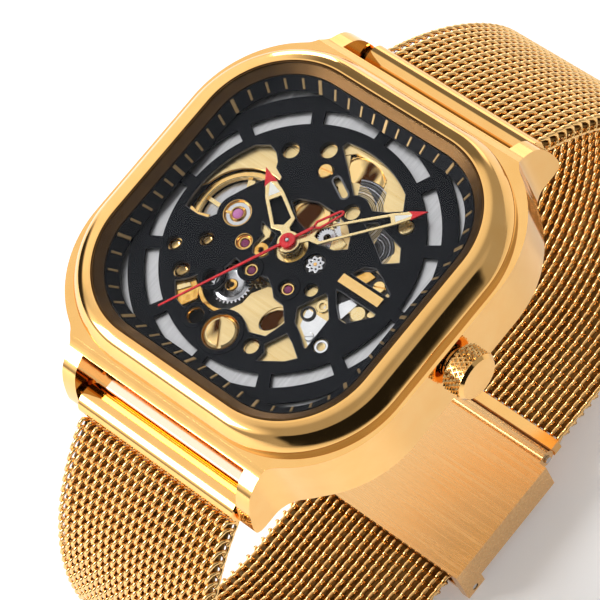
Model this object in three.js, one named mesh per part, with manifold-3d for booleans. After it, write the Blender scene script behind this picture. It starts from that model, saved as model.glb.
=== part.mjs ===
// A gold cushion-shaped automatic wristwatch with an openworked dial on a woven mesh band.
// Millimetres, +Z up. The watch stands on its clasp: the underside of the clasp is z = 0, the dial
// faces up, 12 o'clock is +Y and the crown is +X. The dial centre lies on the Z axis.
import * as THREE from "three";
import { mergeVertices } from "three/addons/utils/BufferGeometryUtils.js";
import Module from "manifold-3d";

const wasm = await Module();
wasm.setup();

// ---------------------------------------------------------------- driving dimensions
const DIAL_HEIGHT = 58.4; // top of the dial above the surface that the clasp stands on
const FIT = 0.15; // play between a moving piece and what it runs in

// Case, relative to the top of the dial
const CASE = { halfX: 20.85, halfY: 20.8, corner: 13, top: -1.2, bottom: -7.6, bore: 15.5 };
const LUG = { outer: 13.15, inner: 11.3, tip: 24.2, bottom: -8.7, fillet: 3 };
const BAR = { y: 23.0, z: -6.9, radius: 0.85, tipRadius: 0.45, reach: 12.3 }; // spring bars
const TUBE = { radius: 1.72, bore: 1.05, half: 11.0 }; // end tube of each band half

// Bezel, crystal and flange: offsets from the outline of the crystal opening
const OPENING = { half: 17.0, corner: 9.6 };
const CRYSTAL = { bottom: 1.65, top: 2.5, bevel: 0.25 };
const DIAL = { radius: 17.2, half: 16.3, corner: 8.9, thickness: 0.4 };
const SLOT = { inner: 13.95, outer: 15.05, tab: 5.5 }; // twelve slots; tab is its angle in degrees

// Movement, relative to the top of the dial
const PLATE = { radius: 13.2, top: -4.6, bottom: -5.6 };
const CENTRE = [0, 0];
const BARREL_AT = [3.0, 6.6];
const THIRD_AT = [2.69, -3.75];
const FOURTH_AT = [-1.96, -4.16];
const ESCAPE_AT = [-4.6, -2.22];
const PALLET_AT = [-6.23, -0.98];
const BALANCE_AT = [-7.34, -0.14];
const MINUTE_WHEEL_AT = [2.6, -1.5];
const CROWN_Z = -3.25;
const CROWN = { radius: 2.7, base: 21.3, face: 23.9, chamfer: 0.35 };

// Band: each half's centre line leaves its tube at a heading in degrees below level, and bends in
// arcs of [radius, heading at the end] until a last arc brings it level under the case
const MESH = { half: 10.7, thickness: 1.8, start: 2.1 };
const BEND = {
  12: { heading: 33, arcs: [[38, 60], [24, 90], [24, 120]] },
  6: { heading: 35.5, arcs: [[29, 90], [29, 120]] },
};
const FLEX_GAP = 0.25; // radial play of the joint in the middle of each band half
const MESH_Z = 3.9; // centre line of the flat run at the clasp, above the surface
const CLASP = { y0: -9, y1: 7, half: 12.2, top: 6.0, bottom: 1.8, wall: 1.1 };
const LOCK_PIN = { y: -7.6, z: 0.85, radius: 0.4 };
const CLASP_PIN = { y: 8.3, z: MESH_Z, radius: 0.45, barrel: 1.1 };
const BAND_END = { 12: 10.7, 6: 0.8 }; // where each half's flat run ends, as a distance from y = 0

// ---------------------------------------------------------------- materials
const finish = (color, roughness, metalness) =>
  new THREE.MeshStandardMaterial({ color, roughness, metalness });
const gold = () => finish(0xe3a24a, 0.15, 1);
const paleGold = () => finish(0xe9cf8c, 0.3, 1);
const blackPlate = () => finish(0x1c1f28, 0.65, 0.2);
const steel = () => finish(0xb9bcc0, 0.3, 1);
const ruby = () => finish(0xb5175e, 0.1, 0);
const rubber = () => finish(0x111111, 0.8, 0);
const glass = () => finish(0xf4f8fa, 0.03, 0);
const redPaint = () => finish(0xe01226, 0.35, 0);
const nylon = () => finish(0x2a2a2c, 0.7, 0);

// ---------------------------------------------------------------- helpers
const rad = THREE.MathUtils.degToRad;
const cosd = (degrees) => Math.cos(rad(degrees));
const sind = (degrees) => Math.sin(rad(degrees));

function solidOf(geometry) {
  const bare = geometry.clone();
  bare.deleteAttribute("normal");
  bare.deleteAttribute("uv");
  const merged = mergeVertices(bare, 1e-4);
  return new wasm.Manifold(
    new wasm.Mesh({
      numProp: 3,
      vertProperties: new Float32Array(merged.attributes.position.array),
      triVerts: new Uint32Array(merged.index.array),
    }),
  );
}

function geometryOf(solid) {
  const mesh = solid.getMesh();
  const g = new THREE.BufferGeometry();
  g.setAttribute("position", new THREE.BufferAttribute(mesh.vertProperties, 3));
  g.setIndex(new THREE.BufferAttribute(mesh.triVerts, 1));
  g.computeVertexNormals();
  return g;
}

const cut = (base, ...tools) =>
  geometryOf(tools.reduce((s, t) => s.subtract(solidOf(t)), solidOf(base)));
const join = (...parts) =>
  geometryOf(parts.slice(1).reduce((s, t) => s.add(solidOf(t)), solidOf(parts[0])));
const common = (a, b) => geometryOf(solidOf(a).intersect(solidOf(b)));

function extrudeZ(shape, z0, z1, curveSegments = 8) {
  const settings = { depth: z1 - z0, bevelEnabled: false, curveSegments };
  return new THREE.ExtrudeGeometry(shape, settings).translate(0, 0, z0);
}

// A shape drawn in (y, z) and extruded along X.
function extrudeX(shape, x0, x1, curveSegments = 8) {
  const settings = { depth: x1 - x0, bevelEnabled: false, curveSegments };
  const turn = new THREE.Matrix4().makeBasis(
    new THREE.Vector3(0, 1, 0),
    new THREE.Vector3(0, 0, 1),
    new THREE.Vector3(1, 0, 0),
  );
  return new THREE.ExtrudeGeometry(shape, settings).applyMatrix4(turn).translate(x0, 0, 0);
}

function block(x0, x1, y0, y1, z0, z1) {
  const g = new THREE.BoxGeometry(x1 - x0, y1 - y0, z1 - z0);
  return g.translate((x0 + x1) / 2, (y0 + y1) / 2, (z0 + z1) / 2);
}

function rodZ(radius, z0, z1, [x, y] = [0, 0], sides = 20) {
  const g = new THREE.CylinderGeometry(radius, radius, z1 - z0, sides).rotateX(Math.PI / 2);
  return g.translate(x, y, (z0 + z1) / 2);
}

function rodX(radius, x0, x1, [y, z] = [0, 0], sides = 16) {
  const g = new THREE.CylinderGeometry(radius, radius, x1 - x0, sides).rotateZ(-Math.PI / 2);
  return g.translate((x0 + x1) / 2, y, z);
}

// A closed profile of [radius, height] points turned about Z.
function turned(profile, segments = 48, [x, y] = [0, 0]) {
  const points = profile.map(([r, z]) => new THREE.Vector2(r, z));
  if (profile[0][0] > 0) points.push(points[0].clone());
  return new THREE.LatheGeometry(points, segments).rotateX(Math.PI / 2).translate(x, y, 0);
}

// Adds an arc to a path as short straight steps, from one angle to another in degrees.
function ringArc(path, r, from, to, [x, y] = [0, 0]) {
  const steps = Math.ceil(Math.abs(to - from) / (r > 8 ? 8 : 24));
  for (let i = 0; i <= steps; i++) {
    const a = rad(from + ((to - from) * i) / steps);
    const p = [x + r * Math.cos(a), y + r * Math.sin(a)];
    if (i === 0 && path.curves.length === 0) path.moveTo(...p);
    else path.lineTo(...p);
  }
}

function circle(radius, [x, y] = [0, 0]) {
  return new THREE.Path().absarc(x, y, radius, 0, 2 * Math.PI, false);
}

function polygon(points) {
  return new THREE.Shape(points.map(([x, y]) => new THREE.Vector2(x, y)));
}

function roundedSquare(half, r) {
  const s = new THREE.Shape();
  const c = half - r;
  const corners = [[c, c], [-c, c], [-c, -c], [c, -c]];
  corners.forEach((at, i) => ringArc(s, r, 90 * i, 90 * (i + 1), at));
  return s;
}

// A ring lofted through rounded-square sections [extraX, extraY, z], each an offset from the
// crystal opening. The list climbs the outside of the ring and comes back down its inside.
function squareRing(sections, perCorner = 8) {
  const outlines = sections.map(([extraX, extraY, z]) => {
    const halfX = OPENING.half + extraX;
    const halfY = OPENING.half + extraY;
    const r = OPENING.corner + (extraX + extraY) / 2;
    const points = [];
    for (const [sx, sy, start] of [[1, 1, 0], [-1, 1, 90], [-1, -1, 180], [1, -1, 270]]) {
      for (let i = 0; i <= perCorner; i++) {
        const a = rad(start + (90 * i) / perCorner);
        const x = sx * (halfX - r) + r * Math.cos(a);
        points.push([x, sy * (halfY - r) + r * Math.sin(a), z]);
      }
    }
    return points;
  });
  const count = outlines[0].length;
  const index = [];
  outlines.forEach((_, j) => {
    const next = (j + 1) % outlines.length;
    for (let i = 0; i < count; i++) {
      const k = (i + 1) % count;
      const [a, b, c, d] = [j * count + i, j * count + k, next * count + k, next * count + i];
      index.push(a, b, c, a, c, d);
    }
  });
  const g = new THREE.BufferGeometry();
  g.setAttribute("position", new THREE.Float32BufferAttribute(outlines.flat(2), 3));
  return g.setIndex(index);
}

// A toothed wheel lying flat, with openings between its spokes. Its teeth are pointed.
function wheel({ tip, teeth, z0, z1, spokes = 0, rim = 0.5, hub = 0.8, at = [0, 0] }) {
  const root = tip - Math.min(0.3, 0.2 * tip);
  const points = [];
  for (let i = 0; i < 2 * teeth; i++) {
    const r = i % 2 ? tip : root;
    const a = (Math.PI * i) / teeth;
    points.push([r * Math.cos(a), r * Math.sin(a)]);
  }
  const shape = polygon(points);
  for (let i = 0; i < spokes; i++) {
    const width = 360 / spokes;
    const window = new THREE.Path();
    ringArc(window, root - rim, i * width + 9, (i + 1) * width - 9);
    ringArc(window, hub, (i + 1) * width - 16, i * width + 16);
    shape.holes.push(window.closePath());
  }
  return extrudeZ(shape, z0, z1).translate(at[0], at[1], 0);
}

const watch = new THREE.Group();
const head = new THREE.Group(); // everything measured from the top of the dial
head.position.z = DIAL_HEIGHT;
watch.add(head);

function add(name, geometry, material, parent = head) {
  const mesh = new THREE.Mesh(geometry, material);
  mesh.name = name;
  parent.add(mesh);
}

// ---------------------------------------------------------------- case middle with its four lugs
function casePlan() {
  const { halfX, halfY, corner } = CASE;
  const arc = [halfX - corner, halfY - corner]; // centre of the corner's arc
  const reach = corner + LUG.fillet;
  const fillet = [LUG.outer + LUG.fillet, 0];
  fillet[1] = arc[1] + Math.sqrt(reach ** 2 - (fillet[0] - arc[0]) ** 2);
  const meet = Math.atan2(fillet[1] - arc[1], fillet[0] - arc[0]);
  const quarter = [[halfX, 0]];
  for (let i = 0; i <= 7; i++) {
    const a = (meet * i) / 7;
    quarter.push([arc[0] + corner * Math.cos(a), arc[1] + corner * Math.sin(a)]);
  }
  for (let i = 1; i <= 4; i++) {
    const a = Math.PI + meet * (1 - i / 4);
    const x = fillet[0] + LUG.fillet * Math.cos(a);
    quarter.push([x, fillet[1] + LUG.fillet * Math.sin(a)]);
  }
  quarter.push([LUG.outer, LUG.tip + 1], [LUG.inner, LUG.tip + 1], [LUG.inner, halfY]);
  const mirrored = (points, sx, sy) => points.map(([x, y]) => [sx * x, sy * y]);
  return polygon([
    ...quarter,
    ...mirrored(quarter, -1, 1).reverse(),
    ...mirrored(quarter, -1, -1).slice(1),
    ...mirrored(quarter, 1, -1).reverse().slice(0, -1),
  ]);
}

// Side view of case and lugs: half of the outline, from the top middle to the bottom middle.
function caseSide() {
  const half = [
    [19.7, CASE.top],
    [20.8, -1.5],
    [21.9, -1.95],
    [22.7, -2.7],
    [23.35, -3.9],
    [23.85, -5.4],
    [LUG.tip, -7.2],
    [24.15, -8.1],
    [23.7, -8.55],
    [23.0, LUG.bottom],
    [20.4, LUG.bottom],
    [19.3, -8.5],
    [18.4, -7.95],
    [17.4, CASE.bottom],
  ];
  return polygon([...half, ...half.map(([y, z]) => [-y, z]).reverse()].reverse());
}

const BACK_SCREWS = [45, 135, 225, 315].map((a) => [
  17.3 * Math.cos(rad(a)),
  17.3 * Math.sin(rad(a)),
]);
const BACK = { top: -7.8, edge: -8.3, bottom: -9.6, window: 11.4 };

function caseBody() {
  const plan = extrudeZ(casePlan(), LUG.bottom - 1, CASE.top + 1);
  const side = extrudeX(caseSide(), -CASE.halfX - 1, CASE.halfX + 1);
  const tools = [rodZ(CASE.bore, -10, 0, CENTRE, 48)];
  for (const sy of [-1, 1]) {
    const at = [sy * BAR.y, BAR.z];
    tools.push(rodX(BAR.tipRadius + FIT, -BAR.reach - 0.3, BAR.reach + 0.3, at, 12));
  }
  tools.push(rodX(1.75, 14, 23, [0, CROWN_Z], 20));
  for (const at of BACK_SCREWS) tools.push(rodZ(0.75, -9, -5.4, at, 8));
  return cut(common(plan, side), ...tools);
}
add("case_body", caseBody(), gold());

// ---------------------------------------------------------------- bezel, glass and flange
const bezel = squareRing([
  [3.02, 2.5, -0.9],
  [3.07, 2.52, 0.38],
  [2.72, 2.3, 1.0],
  [2.15, 1.85, 1.6],
  [1.3, 1.15, 2.08],
  [0.25, 0.25, 2.35],
  [0.2, 0.2, 1.5],
  [-0.85, -0.85, 1.45],
  [-0.85, -0.85, 0.95],
  [-0.4, -0.4, 0.85],
  [-0.4, -0.4, -0.9],
]);
add("bezel", bezel, gold());
const gasket = [[2.6, 2.1, -1.15], [2.6, 2.1, -0.95], [0.6, 0.6, -0.95], [0.6, 0.6, -1.15]];
add("bezel_gasket", squareRing(gasket, 6), rubber());

function crystal() {
  const half = OPENING.half;
  const slab = roundedSquare(half - CRYSTAL.bevel, OPENING.corner);
  const settings = {
    depth: CRYSTAL.top - CRYSTAL.bottom - CRYSTAL.bevel,
    bevelThickness: CRYSTAL.bevel,
    bevelSize: CRYSTAL.bevel,
    bevelSegments: 1,
    curveSegments: 8,
  };
  const plate = new THREE.ExtrudeGeometry(slab, settings).translate(0, 0, CRYSTAL.bottom);
  const floor = block(-20, 20, -20, 20, CRYSTAL.bottom - 2, CRYSTAL.bottom);
  return cut(plate, floor);
}
add("crystal", crystal(), glass());

const flange = [[-1.0, -1.0, 0.15], [-1.0, -1.0, 1.45], [-2.15, -2.15, 0.35], [-2.15, -2.15, 0.15]];
add("flange_ring", squareRing(flange), blackPlate());

// ---------------------------------------------------------------- openworked dial
function hourSlot(hour) {
  const middle = 90 - 30 * (hour + 0.5);
  const reach = 15 - SLOT.tab / 2;
  const slot = new THREE.Path();
  ringArc(slot, SLOT.outer, middle - reach, middle + reach);
  ringArc(slot, SLOT.inner, middle + reach, middle - reach);
  return slot.closePath();
}

function balanceWindow() {
  const w = new THREE.Path();
  ringArc(w, 12.9, 191, 148);
  w.lineTo(-9.6, 7.7).lineTo(-8.5, 7.4).lineTo(-7.4, 6.1).lineTo(-6.1, 5.5);
  w.lineTo(-6.0, 5.1).lineTo(-7.5, 4.2).lineTo(-8.4, 2.7);
  ringArc(w, 2.2, 150, 215, BALANCE_AT);
  return w.lineTo(-9.7, -2.2).lineTo(-10.9, -2.5).closePath();
}

function barrelWindow() {
  const w = new THREE.Path();
  ringArc(w, 12.4, 103, 60);
  w.lineTo(7.3, 9.2).lineTo(5.9, 8.2).lineTo(4.5, 7.5);
  ringArc(w, 1.9, 60, 125, [2.8, 6.3]);
  return w.lineTo(-0.5, 9.6).lineTo(-3.0, 11.5).closePath();
}

function escapementWindow() {
  const w = new THREE.Path().moveTo(-8.0, -9.4).lineTo(-6.2, -7.4);
  ringArc(w, 1.3, 200, 365, [-4.8, -7.1]);
  w.lineTo(-4.5, -5.4).lineTo(-4.2, -4.0).lineTo(-3.4, -4.1);
  ringArc(w, 1.15, 215, 360, FOURTH_AT);
  w.lineTo(0.2, -3.9).lineTo(1.4, -4.6).lineTo(2.2, -5.3).lineTo(3.6, -5.4);
  w.lineTo(5.0, -6.8).lineTo(4.3, -9.0).lineTo(2.5, -9.6);
  ringArc(w, 2.6, 50, 150, [0.1, -11.2]);
  ringArc(w, 1.2, 60, 180, [-3.4, -11.2]);
  return w.lineTo(-6.6, -10.9).closePath();
}

const SMALL_WINDOWS = [
  [[4.7, 6.0], [5.8, 6.9], [9.7, 6.0], [10.7, 4.6], [9.2, 3.5], [7.2, 4.7]],
  [[-3.5, 3.9], [-3.0, 4.6], [-0.9, 5.4], [1.5, 5.4], [3.4, 5.0], [5.2, 2.9], [4.0, 2.0], [2.3, 1.8],
    [0.8, 2.2], [-1.4, 2.5]],
  [[-4.6, 0.6], [-3.5, -0.5], [-3.6, -2.0], [-3.1, -2.7], [-1.8, -2.6], [-1.7, -1.6], [-2.2, 0.2]],
  [[4.7, -9.7], [5.9, -7.5], [7.1, -8.0], [8.8, -8.9], [7.2, -10.5], [5.2, -11.6]],
  [[4.9, -4.8], [6.4, -2.0], [6.8, -2.1], [8.6, -4.0], [8.7, -7.8], [7.1, -6.9], [5.8, -6.2]],
  [[7.0, -1.1], [12.3, -1.0], [12.3, -1.4], [10.3, -3.5], [9.4, -3.5], [8.2, -2.5]],
  [[7.2, 1.0], [7.9, 2.4], [9.0, 2.9], [10.3, 2.4], [12.2, 1.4], [12.2, 1.0]],
];
// Round holes: centre, then radius. The first seven sit over jewels, the rest over posts.
const ROUND_HOLES = [
  [BALANCE_AT, 1.35],
  [THIRD_AT, 0.75],
  [FOURTH_AT, 0.72],
  [ESCAPE_AT, 0.75],
  [[3.36, -0.14], 1.1],
  [[0.07, -11.2], 1.95],
  [[-2.58, 8.44], 0.9],
  [[8.7, 7.98], 0.85],
  [[-7.33, 8.32], 0.9],
  [[-3.89, 10.44], 0.9],
  [[2.81, 6.32], 0.85],
  [[-10.8, -6.28], 0.8],
  [[-8.23, -4.06], 0.8],
  [[-8.21, -8.11], 0.9],
  [[-4.79, -7.07], 0.8],
  [[4.92, -2.57], 0.7],
  [[-3.39, -11.2], 0.8],
  [[3.71, -10.6], 0.8],
  [[9.74, -6.69], 0.8],
  [CENTRE, 1.75],
];

function dialPlate() {
  const disc = new THREE.Shape();
  ringArc(disc, DIAL.radius, 0, 360);
  for (let hour = 0; hour < 12; hour++) disc.holes.push(hourSlot(hour));
  disc.holes.push(balanceWindow(), barrelWindow(), escapementWindow());
  for (const points of SMALL_WINDOWS) disc.holes.push(polygon(points));
  for (const [at, radius] of ROUND_HOLES) disc.holes.push(circle(radius, at));
  const plate = extrudeZ(disc, -DIAL.thickness, 0, 5);
  const frame = extrudeZ(roundedSquare(DIAL.half, DIAL.corner), -1, 1, 6);
  return common(plate, frame);
}
add("dial_plate", dialPlate(), blackPlate());

function dialBase() {
  const shape = roundedSquare(DIAL.half, DIAL.corner);
  const opening = new THREE.Path();
  ringArc(opening, 13.45, 0, 360);
  shape.holes.push(opening);
  return extrudeZ(shape, -1.0, -0.55);
}
add("dial_base_ring", dialBase(), steel());
add("dial_plaque", block(6.8, 12.1, -0.45, 0.6, 0.08, 0.3), paleGold());

// ---------------------------------------------------------------- hands
// An openwork hand along +Y: two rails that meet at the tip, with a collar round the arbor.
function skeletonHand({ length, half, waist, rail, collar, bore, z0, z1, tail }) {
  const outline = polygon([
    [-waist, collar * 0.7],
    [-half, length * 0.28],
    [-half * 0.9, length * 0.72],
    [0, length],
    [half * 0.9, length * 0.72],
    [half, length * 0.28],
    [waist, collar * 0.7],
    [waist * 0.6, -tail],
    [-waist * 0.6, -tail],
  ].reverse());
  const inner = half - rail;
  const opening = [
    [-inner * 0.35, collar + 0.5],
    [-inner, length * 0.3],
    [-inner * 0.88, length * 0.68],
    [inner * 0.88, length * 0.68],
    [inner, length * 0.3],
    [inner * 0.35, collar + 0.5],
  ];
  outline.holes.push(polygon(opening));
  const blade = extrudeZ(outline, z0, z1);
  return cut(join(blade, rodZ(collar, z0, z1, CENTRE, 20)), rodZ(bore, z0 - 1, z1 + 1, CENTRE, 20));
}
const HOUR_ANGLE = 56; // the hour hand stands between 10 and 11, turned left from 12
const MINUTE_ANGLE = -44.5;
const SECONDS_ANGLE = 152.5;
const LEVEL = { hour: [0.45, 0.65], minute: [0.85, 1.02], seconds: [1.18, 1.34] };

const hourHand = skeletonHand({
  length: 8.9, half: 1.35, waist: 0.7, rail: 0.4, collar: 1.65, bore: 1.0, tail: 1.4,
  z0: LEVEL.hour[0], z1: LEVEL.hour[1],
});
add("hour_hand", hourHand.rotateZ(rad(HOUR_ANGLE)), paleGold());
const minuteHand = skeletonHand({
  length: 14.35, half: 1.15, waist: 0.6, rail: 0.32, collar: 1.35, bore: 0.75, tail: 1.2,
  z0: LEVEL.minute[0], z1: LEVEL.minute[1],
});
add("minute_hand", minuteHand.rotateZ(rad(MINUTE_ANGLE)), paleGold());

function secondsHand() {
  const [z0, z1] = LEVEL.seconds;
  const needle = extrudeZ(polygon([[-0.17, 0], [0.17, 0], [0.13, 14.4], [-0.13, 14.4]]), z0, z1);
  const tail = block(-0.16, 0.16, -3.2, 0, z0, z1);
  const loop = new THREE.Shape();
  loop.absarc(0, -3.7, 0.75, 0, Math.PI, false);
  loop.absarc(0, -5.8, 0.5, Math.PI, 2 * Math.PI, false);
  const inside = new THREE.Path();
  inside.absarc(0, -3.7, 0.42, 0, Math.PI, false);
  inside.absarc(0, -5.8, 0.2, Math.PI, 2 * Math.PI, false);
  loop.holes.push(inside);
  const cap = rodZ(0.95, z0, z1 + 0.12, CENTRE, 24);
  const bore = rodZ(0.33, z0 - 1, z1 + 1, CENTRE, 12);
  return cut(join(needle, tail, extrudeZ(loop, z0, z1, 4), cap), bore);
}
add("seconds_hand", secondsHand().rotateZ(rad(SECONDS_ANGLE)), redPaint());

// ---------------------------------------------------------------- motion work and going train
add(
  "hour_wheel",
  cut(
    join(
      wheel({ tip: 2.3, teeth: 32, z0: -0.75, z1: -0.52 }),
      rodZ(1.35, -0.6, 0.35, CENTRE, 20),
      rodZ(0.95, 0.3, LEVEL.hour[1], CENTRE, 20),
    ),
    rodZ(0.78, -2, 2, CENTRE, 20),
  ),
  paleGold(),
);
add(
  "cannon_pinion",
  cut(
    join(
      wheel({ tip: 0.85, teeth: 10, z0: -1.35, z1: -1.0 }),
      rodZ(0.66, -1.9, LEVEL.minute[1] + 0.05, CENTRE, 16),
    ),
    rodZ(0.42, -3, 3, CENTRE, 12),
  ),
  steel(),
);
add(
  "minute_wheel",
  join(
    wheel({ tip: 2.0, teeth: 30, z0: -1.3, z1: -1.05, at: MINUTE_WHEEL_AT }),
    wheel({ tip: 0.55, teeth: 8, z0: -1.2, z1: -0.55, at: MINUTE_WHEEL_AT }),
  ),
  paleGold(),
);
add(
  "seconds_arbor",
  join(
    rodZ(0.26, -4.5, LEVEL.seconds[1], CENTRE, 12),
    wheel({ tip: 0.62, teeth: 8, z0: -3.75, z1: -3.3 }),
  ),
  steel(),
);
add(
  "centre_wheel",
  cut(
    join(
      wheel({ tip: 3.8, teeth: 64, z0: -2.9, z1: -2.65, spokes: 4, rim: 0.5, hub: 1.75 }),
      wheel({ tip: 1.55, teeth: 12, z0: -2.7, z1: -2.05 }),
      rodZ(0.7, -3.15, -2.8, CENTRE, 16),
    ),
    rodZ(0.42, -5, 0, CENTRE, 12),
  ),
  paleGold(),
);

// A wheel with its pinion on one arbor, between the main plate and its jewel.
function trainWheel({ at, tip, teeth, level, pinion, leaves, pinionLevel, top }) {
  const [low, high] = level;
  const spokes = { spokes: 4, rim: 0.45, hub: 0.7 };
  return join(
    wheel({ tip, teeth, z0: low, z1: high, at, ...spokes }),
    wheel({ tip: pinion, teeth: leaves, z0: pinionLevel[0], z1: pinionLevel[1], at }),
    rodZ(0.2, PLATE.top + 0.1, top, at, 8),
  );
}
add(
  "third_wheel",
  trainWheel({ at: THIRD_AT, tip: 3.85, teeth: 60, level: [-3.65, -3.4], pinion: 0.65, leaves: 8,
    pinionLevel: [-3.5, -2.55], top: -1.6 }),
  paleGold(),
);
add(
  "fourth_wheel",
  trainWheel({ at: FOURTH_AT, tip: 2.6, teeth: 70, level: [-2.3, -2.05], pinion: 0.62, leaves: 8,
    pinionLevel: [-3.7, -2.2], top: -0.9 }),
  paleGold(),
);
add(
  "escape_wheel",
  trainWheel({ at: ESCAPE_AT, tip: 1.6, teeth: 15, level: [-3.35, -3.15], pinion: 0.48, leaves: 7,
    pinionLevel: [-3.2, -2.0], top: -1.85 }),
  steel(),
);

function mainspringBarrel() {
  const drum = turned(
    [
      [0, -2.45], [5.2, -2.45], [5.2, -1.35], [3.6, -1.35], [3.6, -1.15], [1.3, -1.15],
      [1.3, -1.0], [0, -1.0],
    ],
    24,
    BARREL_AT,
  );
  return join(drum, wheel({ tip: 5.55, teeth: 72, z0: -2.4, z1: -2.1, at: BARREL_AT }));
}
add("mainspring_barrel", mainspringBarrel(), steel());

// ---------------------------------------------------------------- escapement and balance
function palletFork() {
  const z0 = -3.35;
  const z1 = -3.15;
  const bar = polygon([[-0.95, -0.12], [0.25, -0.22], [0.25, 0.22], [-0.95, 0.12]]);
  const arms = polygon([[-0.2, -1.25], [0.28, -1.25], [0.12, 0], [0.28, 1.25], [-0.2, 1.25]]);
  const lever = join(extrudeZ(bar, z0, z1), extrudeZ(arms, z0, z1), rodZ(0.16, -4.5, -2.3, CENTRE, 8));
  const toEscape = Math.atan2(ESCAPE_AT[1] - PALLET_AT[1], ESCAPE_AT[0] - PALLET_AT[0]);
  return lever.rotateZ(toEscape).translate(PALLET_AT[0], PALLET_AT[1], 0);
}
add("pallet_fork", palletFork(), steel());

function balanceWheel() {
  const rim = turned([[4.7, -1.7], [5.3, -1.7], [5.3, -1.15], [4.7, -1.15]], 40);
  const spokes = [0, 60, 120].map((a) => block(-4.9, 4.9, -0.22, 0.22, -1.65, -1.5).rotateZ(rad(a)));
  const staff = rodZ(0.22, -4.5, -0.5, CENTRE, 8);
  const roller = rodZ(0.55, -2.0, -1.45, CENTRE, 12);
  return join(rim, ...spokes, staff, roller).translate(BALANCE_AT[0], BALANCE_AT[1], 0);
}
add("balance_wheel", balanceWheel(), paleGold());

// A flat spiral spring round the balance staff, with its outer end on a stud.
function hairspring() {
  const turns = 4;
  const steps = 12;
  const line = (side) => {
    const points = [];
    for (let i = 0; i <= turns * steps; i++) {
      const a = (2 * Math.PI * i) / steps;
      const r = 0.75 + (0.42 * i) / steps + side;
      points.push([r * Math.cos(a), r * Math.sin(a)]);
    }
    return points;
  };
  const strip = polygon([...line(0.05), ...line(-0.05).reverse()]);
  return extrudeZ(strip, -1.35, -1.15).translate(BALANCE_AT[0], BALANCE_AT[1], 0);
}
add("hairspring", hairspring(), steel());

// ---------------------------------------------------------------- plates, jewels and screws
function mainPlate() {
  return rodZ(PLATE.radius, PLATE.bottom, PLATE.top, CENTRE, 40);
}
add("main_plate", mainPlate(), steel());

// The gilt upper bridge shows through the right half of the dial.
function trainBridge() {
  const shape = new THREE.Shape();
  ringArc(shape, 12.95, -98, 112);
  shape.lineTo(-3.6, 7.6).lineTo(-0.6, 7.9);
  ringArc(shape, 5.2, 60, -60);
  shape.lineTo(0.5, -5.6).lineTo(-1.6, -9.4).closePath();
  const barrelOpening = new THREE.Path();
  ringArc(barrelOpening, 11.9, 100, 74);
  ringArc(barrelOpening, 3.2, 40, 125, [1.7, 6.2]);
  barrelOpening.closePath();
  const oval = new THREE.Path().absellipse(3.5, -7.2, 1.05, 1.7, 0, 2 * Math.PI, false, -0.5);
  const stemOpening = polygon([[7.0, -3.3], [7.0, 2.7], [12.2, 2.7], [12.2, -3.3]]);
  const lowerOpening = polygon([[5.6, -4.2], [8.7, -4.2], [8.7, -7.5], [6.2, -6.0]]);
  const screwHole = circle(0.85, [0.07, -11.2]);
  shape.holes.push(barrelOpening, oval, stemOpening, lowerOpening, screwHole);
  const posts = [[10.9, 5.2], [9.2, -8.0]].map((at) => rodZ(0.7, PLATE.top + 0.1, -0.7, at, 10));
  return join(extrudeZ(shape, -0.85, -0.6, 6), ...posts);
}
add("train_bridge", trainBridge(), paleGold());

function jewel(name, at, outer) {
  const cup = turned([[0.3, -0.5], [outer, -0.5], [outer, -0.1], [outer * 0.5, -0.22], [0.3, -0.3]], 12);
  add(name, cup.translate(at[0], at[1], 0), ruby());
}
jewel("jewel_balance", BALANCE_AT, 1.2);
jewel("jewel_third", THIRD_AT, 0.6);
jewel("jewel_fourth", FOURTH_AT, 0.58);
jewel("jewel_escape", ESCAPE_AT, 0.6);

function slottedScrew(name, at, radius, bottom) {
  const top = 0.1;
  const headBody = rodZ(radius, -0.45, top, CENTRE, 16);
  const shank = rodZ(Math.min(radius * 0.5, 0.7), bottom, -0.3, CENTRE, 8);
  const slot = block(-radius - 1, radius + 1, -radius * 0.14, radius * 0.14, top - 0.25, top + 1);
  const screw = cut(join(headBody, shank), slot.rotateZ(rad(-55)));
  add(name, screw.translate(at[0], at[1], 0), paleGold());
}
slottedScrew("bridge_screw_large", [0.07, -11.2], 1.8, -4.45);
slottedScrew("dial_screw_12", [-2.58, 8.44], 0.78, -0.54);
slottedScrew("dial_screw_2", [8.7, 7.98], 0.72, -0.54);

function movementHolder() {
  const ring = turned([[13.5, -5.6], [15.2, -5.6], [15.2, -1.35], [13.5, -1.35]], 40);
  return cut(ring, rodX(1.0, 10, 18, [0, CROWN_Z], 12));
}
add("movement_holder", movementHolder(), nylon());

// ---------------------------------------------------------------- winding rotor under the plate
function rotor() {
  const weight = new THREE.Shape();
  ringArc(weight, 12.6, 95, 265);
  weight.lineTo(-0.8, -3.2);
  ringArc(weight, 3.0, 265, 455);
  weight.closePath();
  weight.holes.push(circle(1.9));
  const rim = new THREE.Shape();
  ringArc(rim, 12.6, 95, 265);
  ringArc(rim, 10.4, 265, 95);
  return join(extrudeZ(weight, -6.7, -6.2), extrudeZ(rim.closePath(), -7.4, -6.5));
}
add("rotor", rotor(), paleGold());
add("rotor_bearing", turned([[0, -7.1], [1.7, -7.1], [1.7, -5.75], [0, -5.75]], 20), steel());

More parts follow.
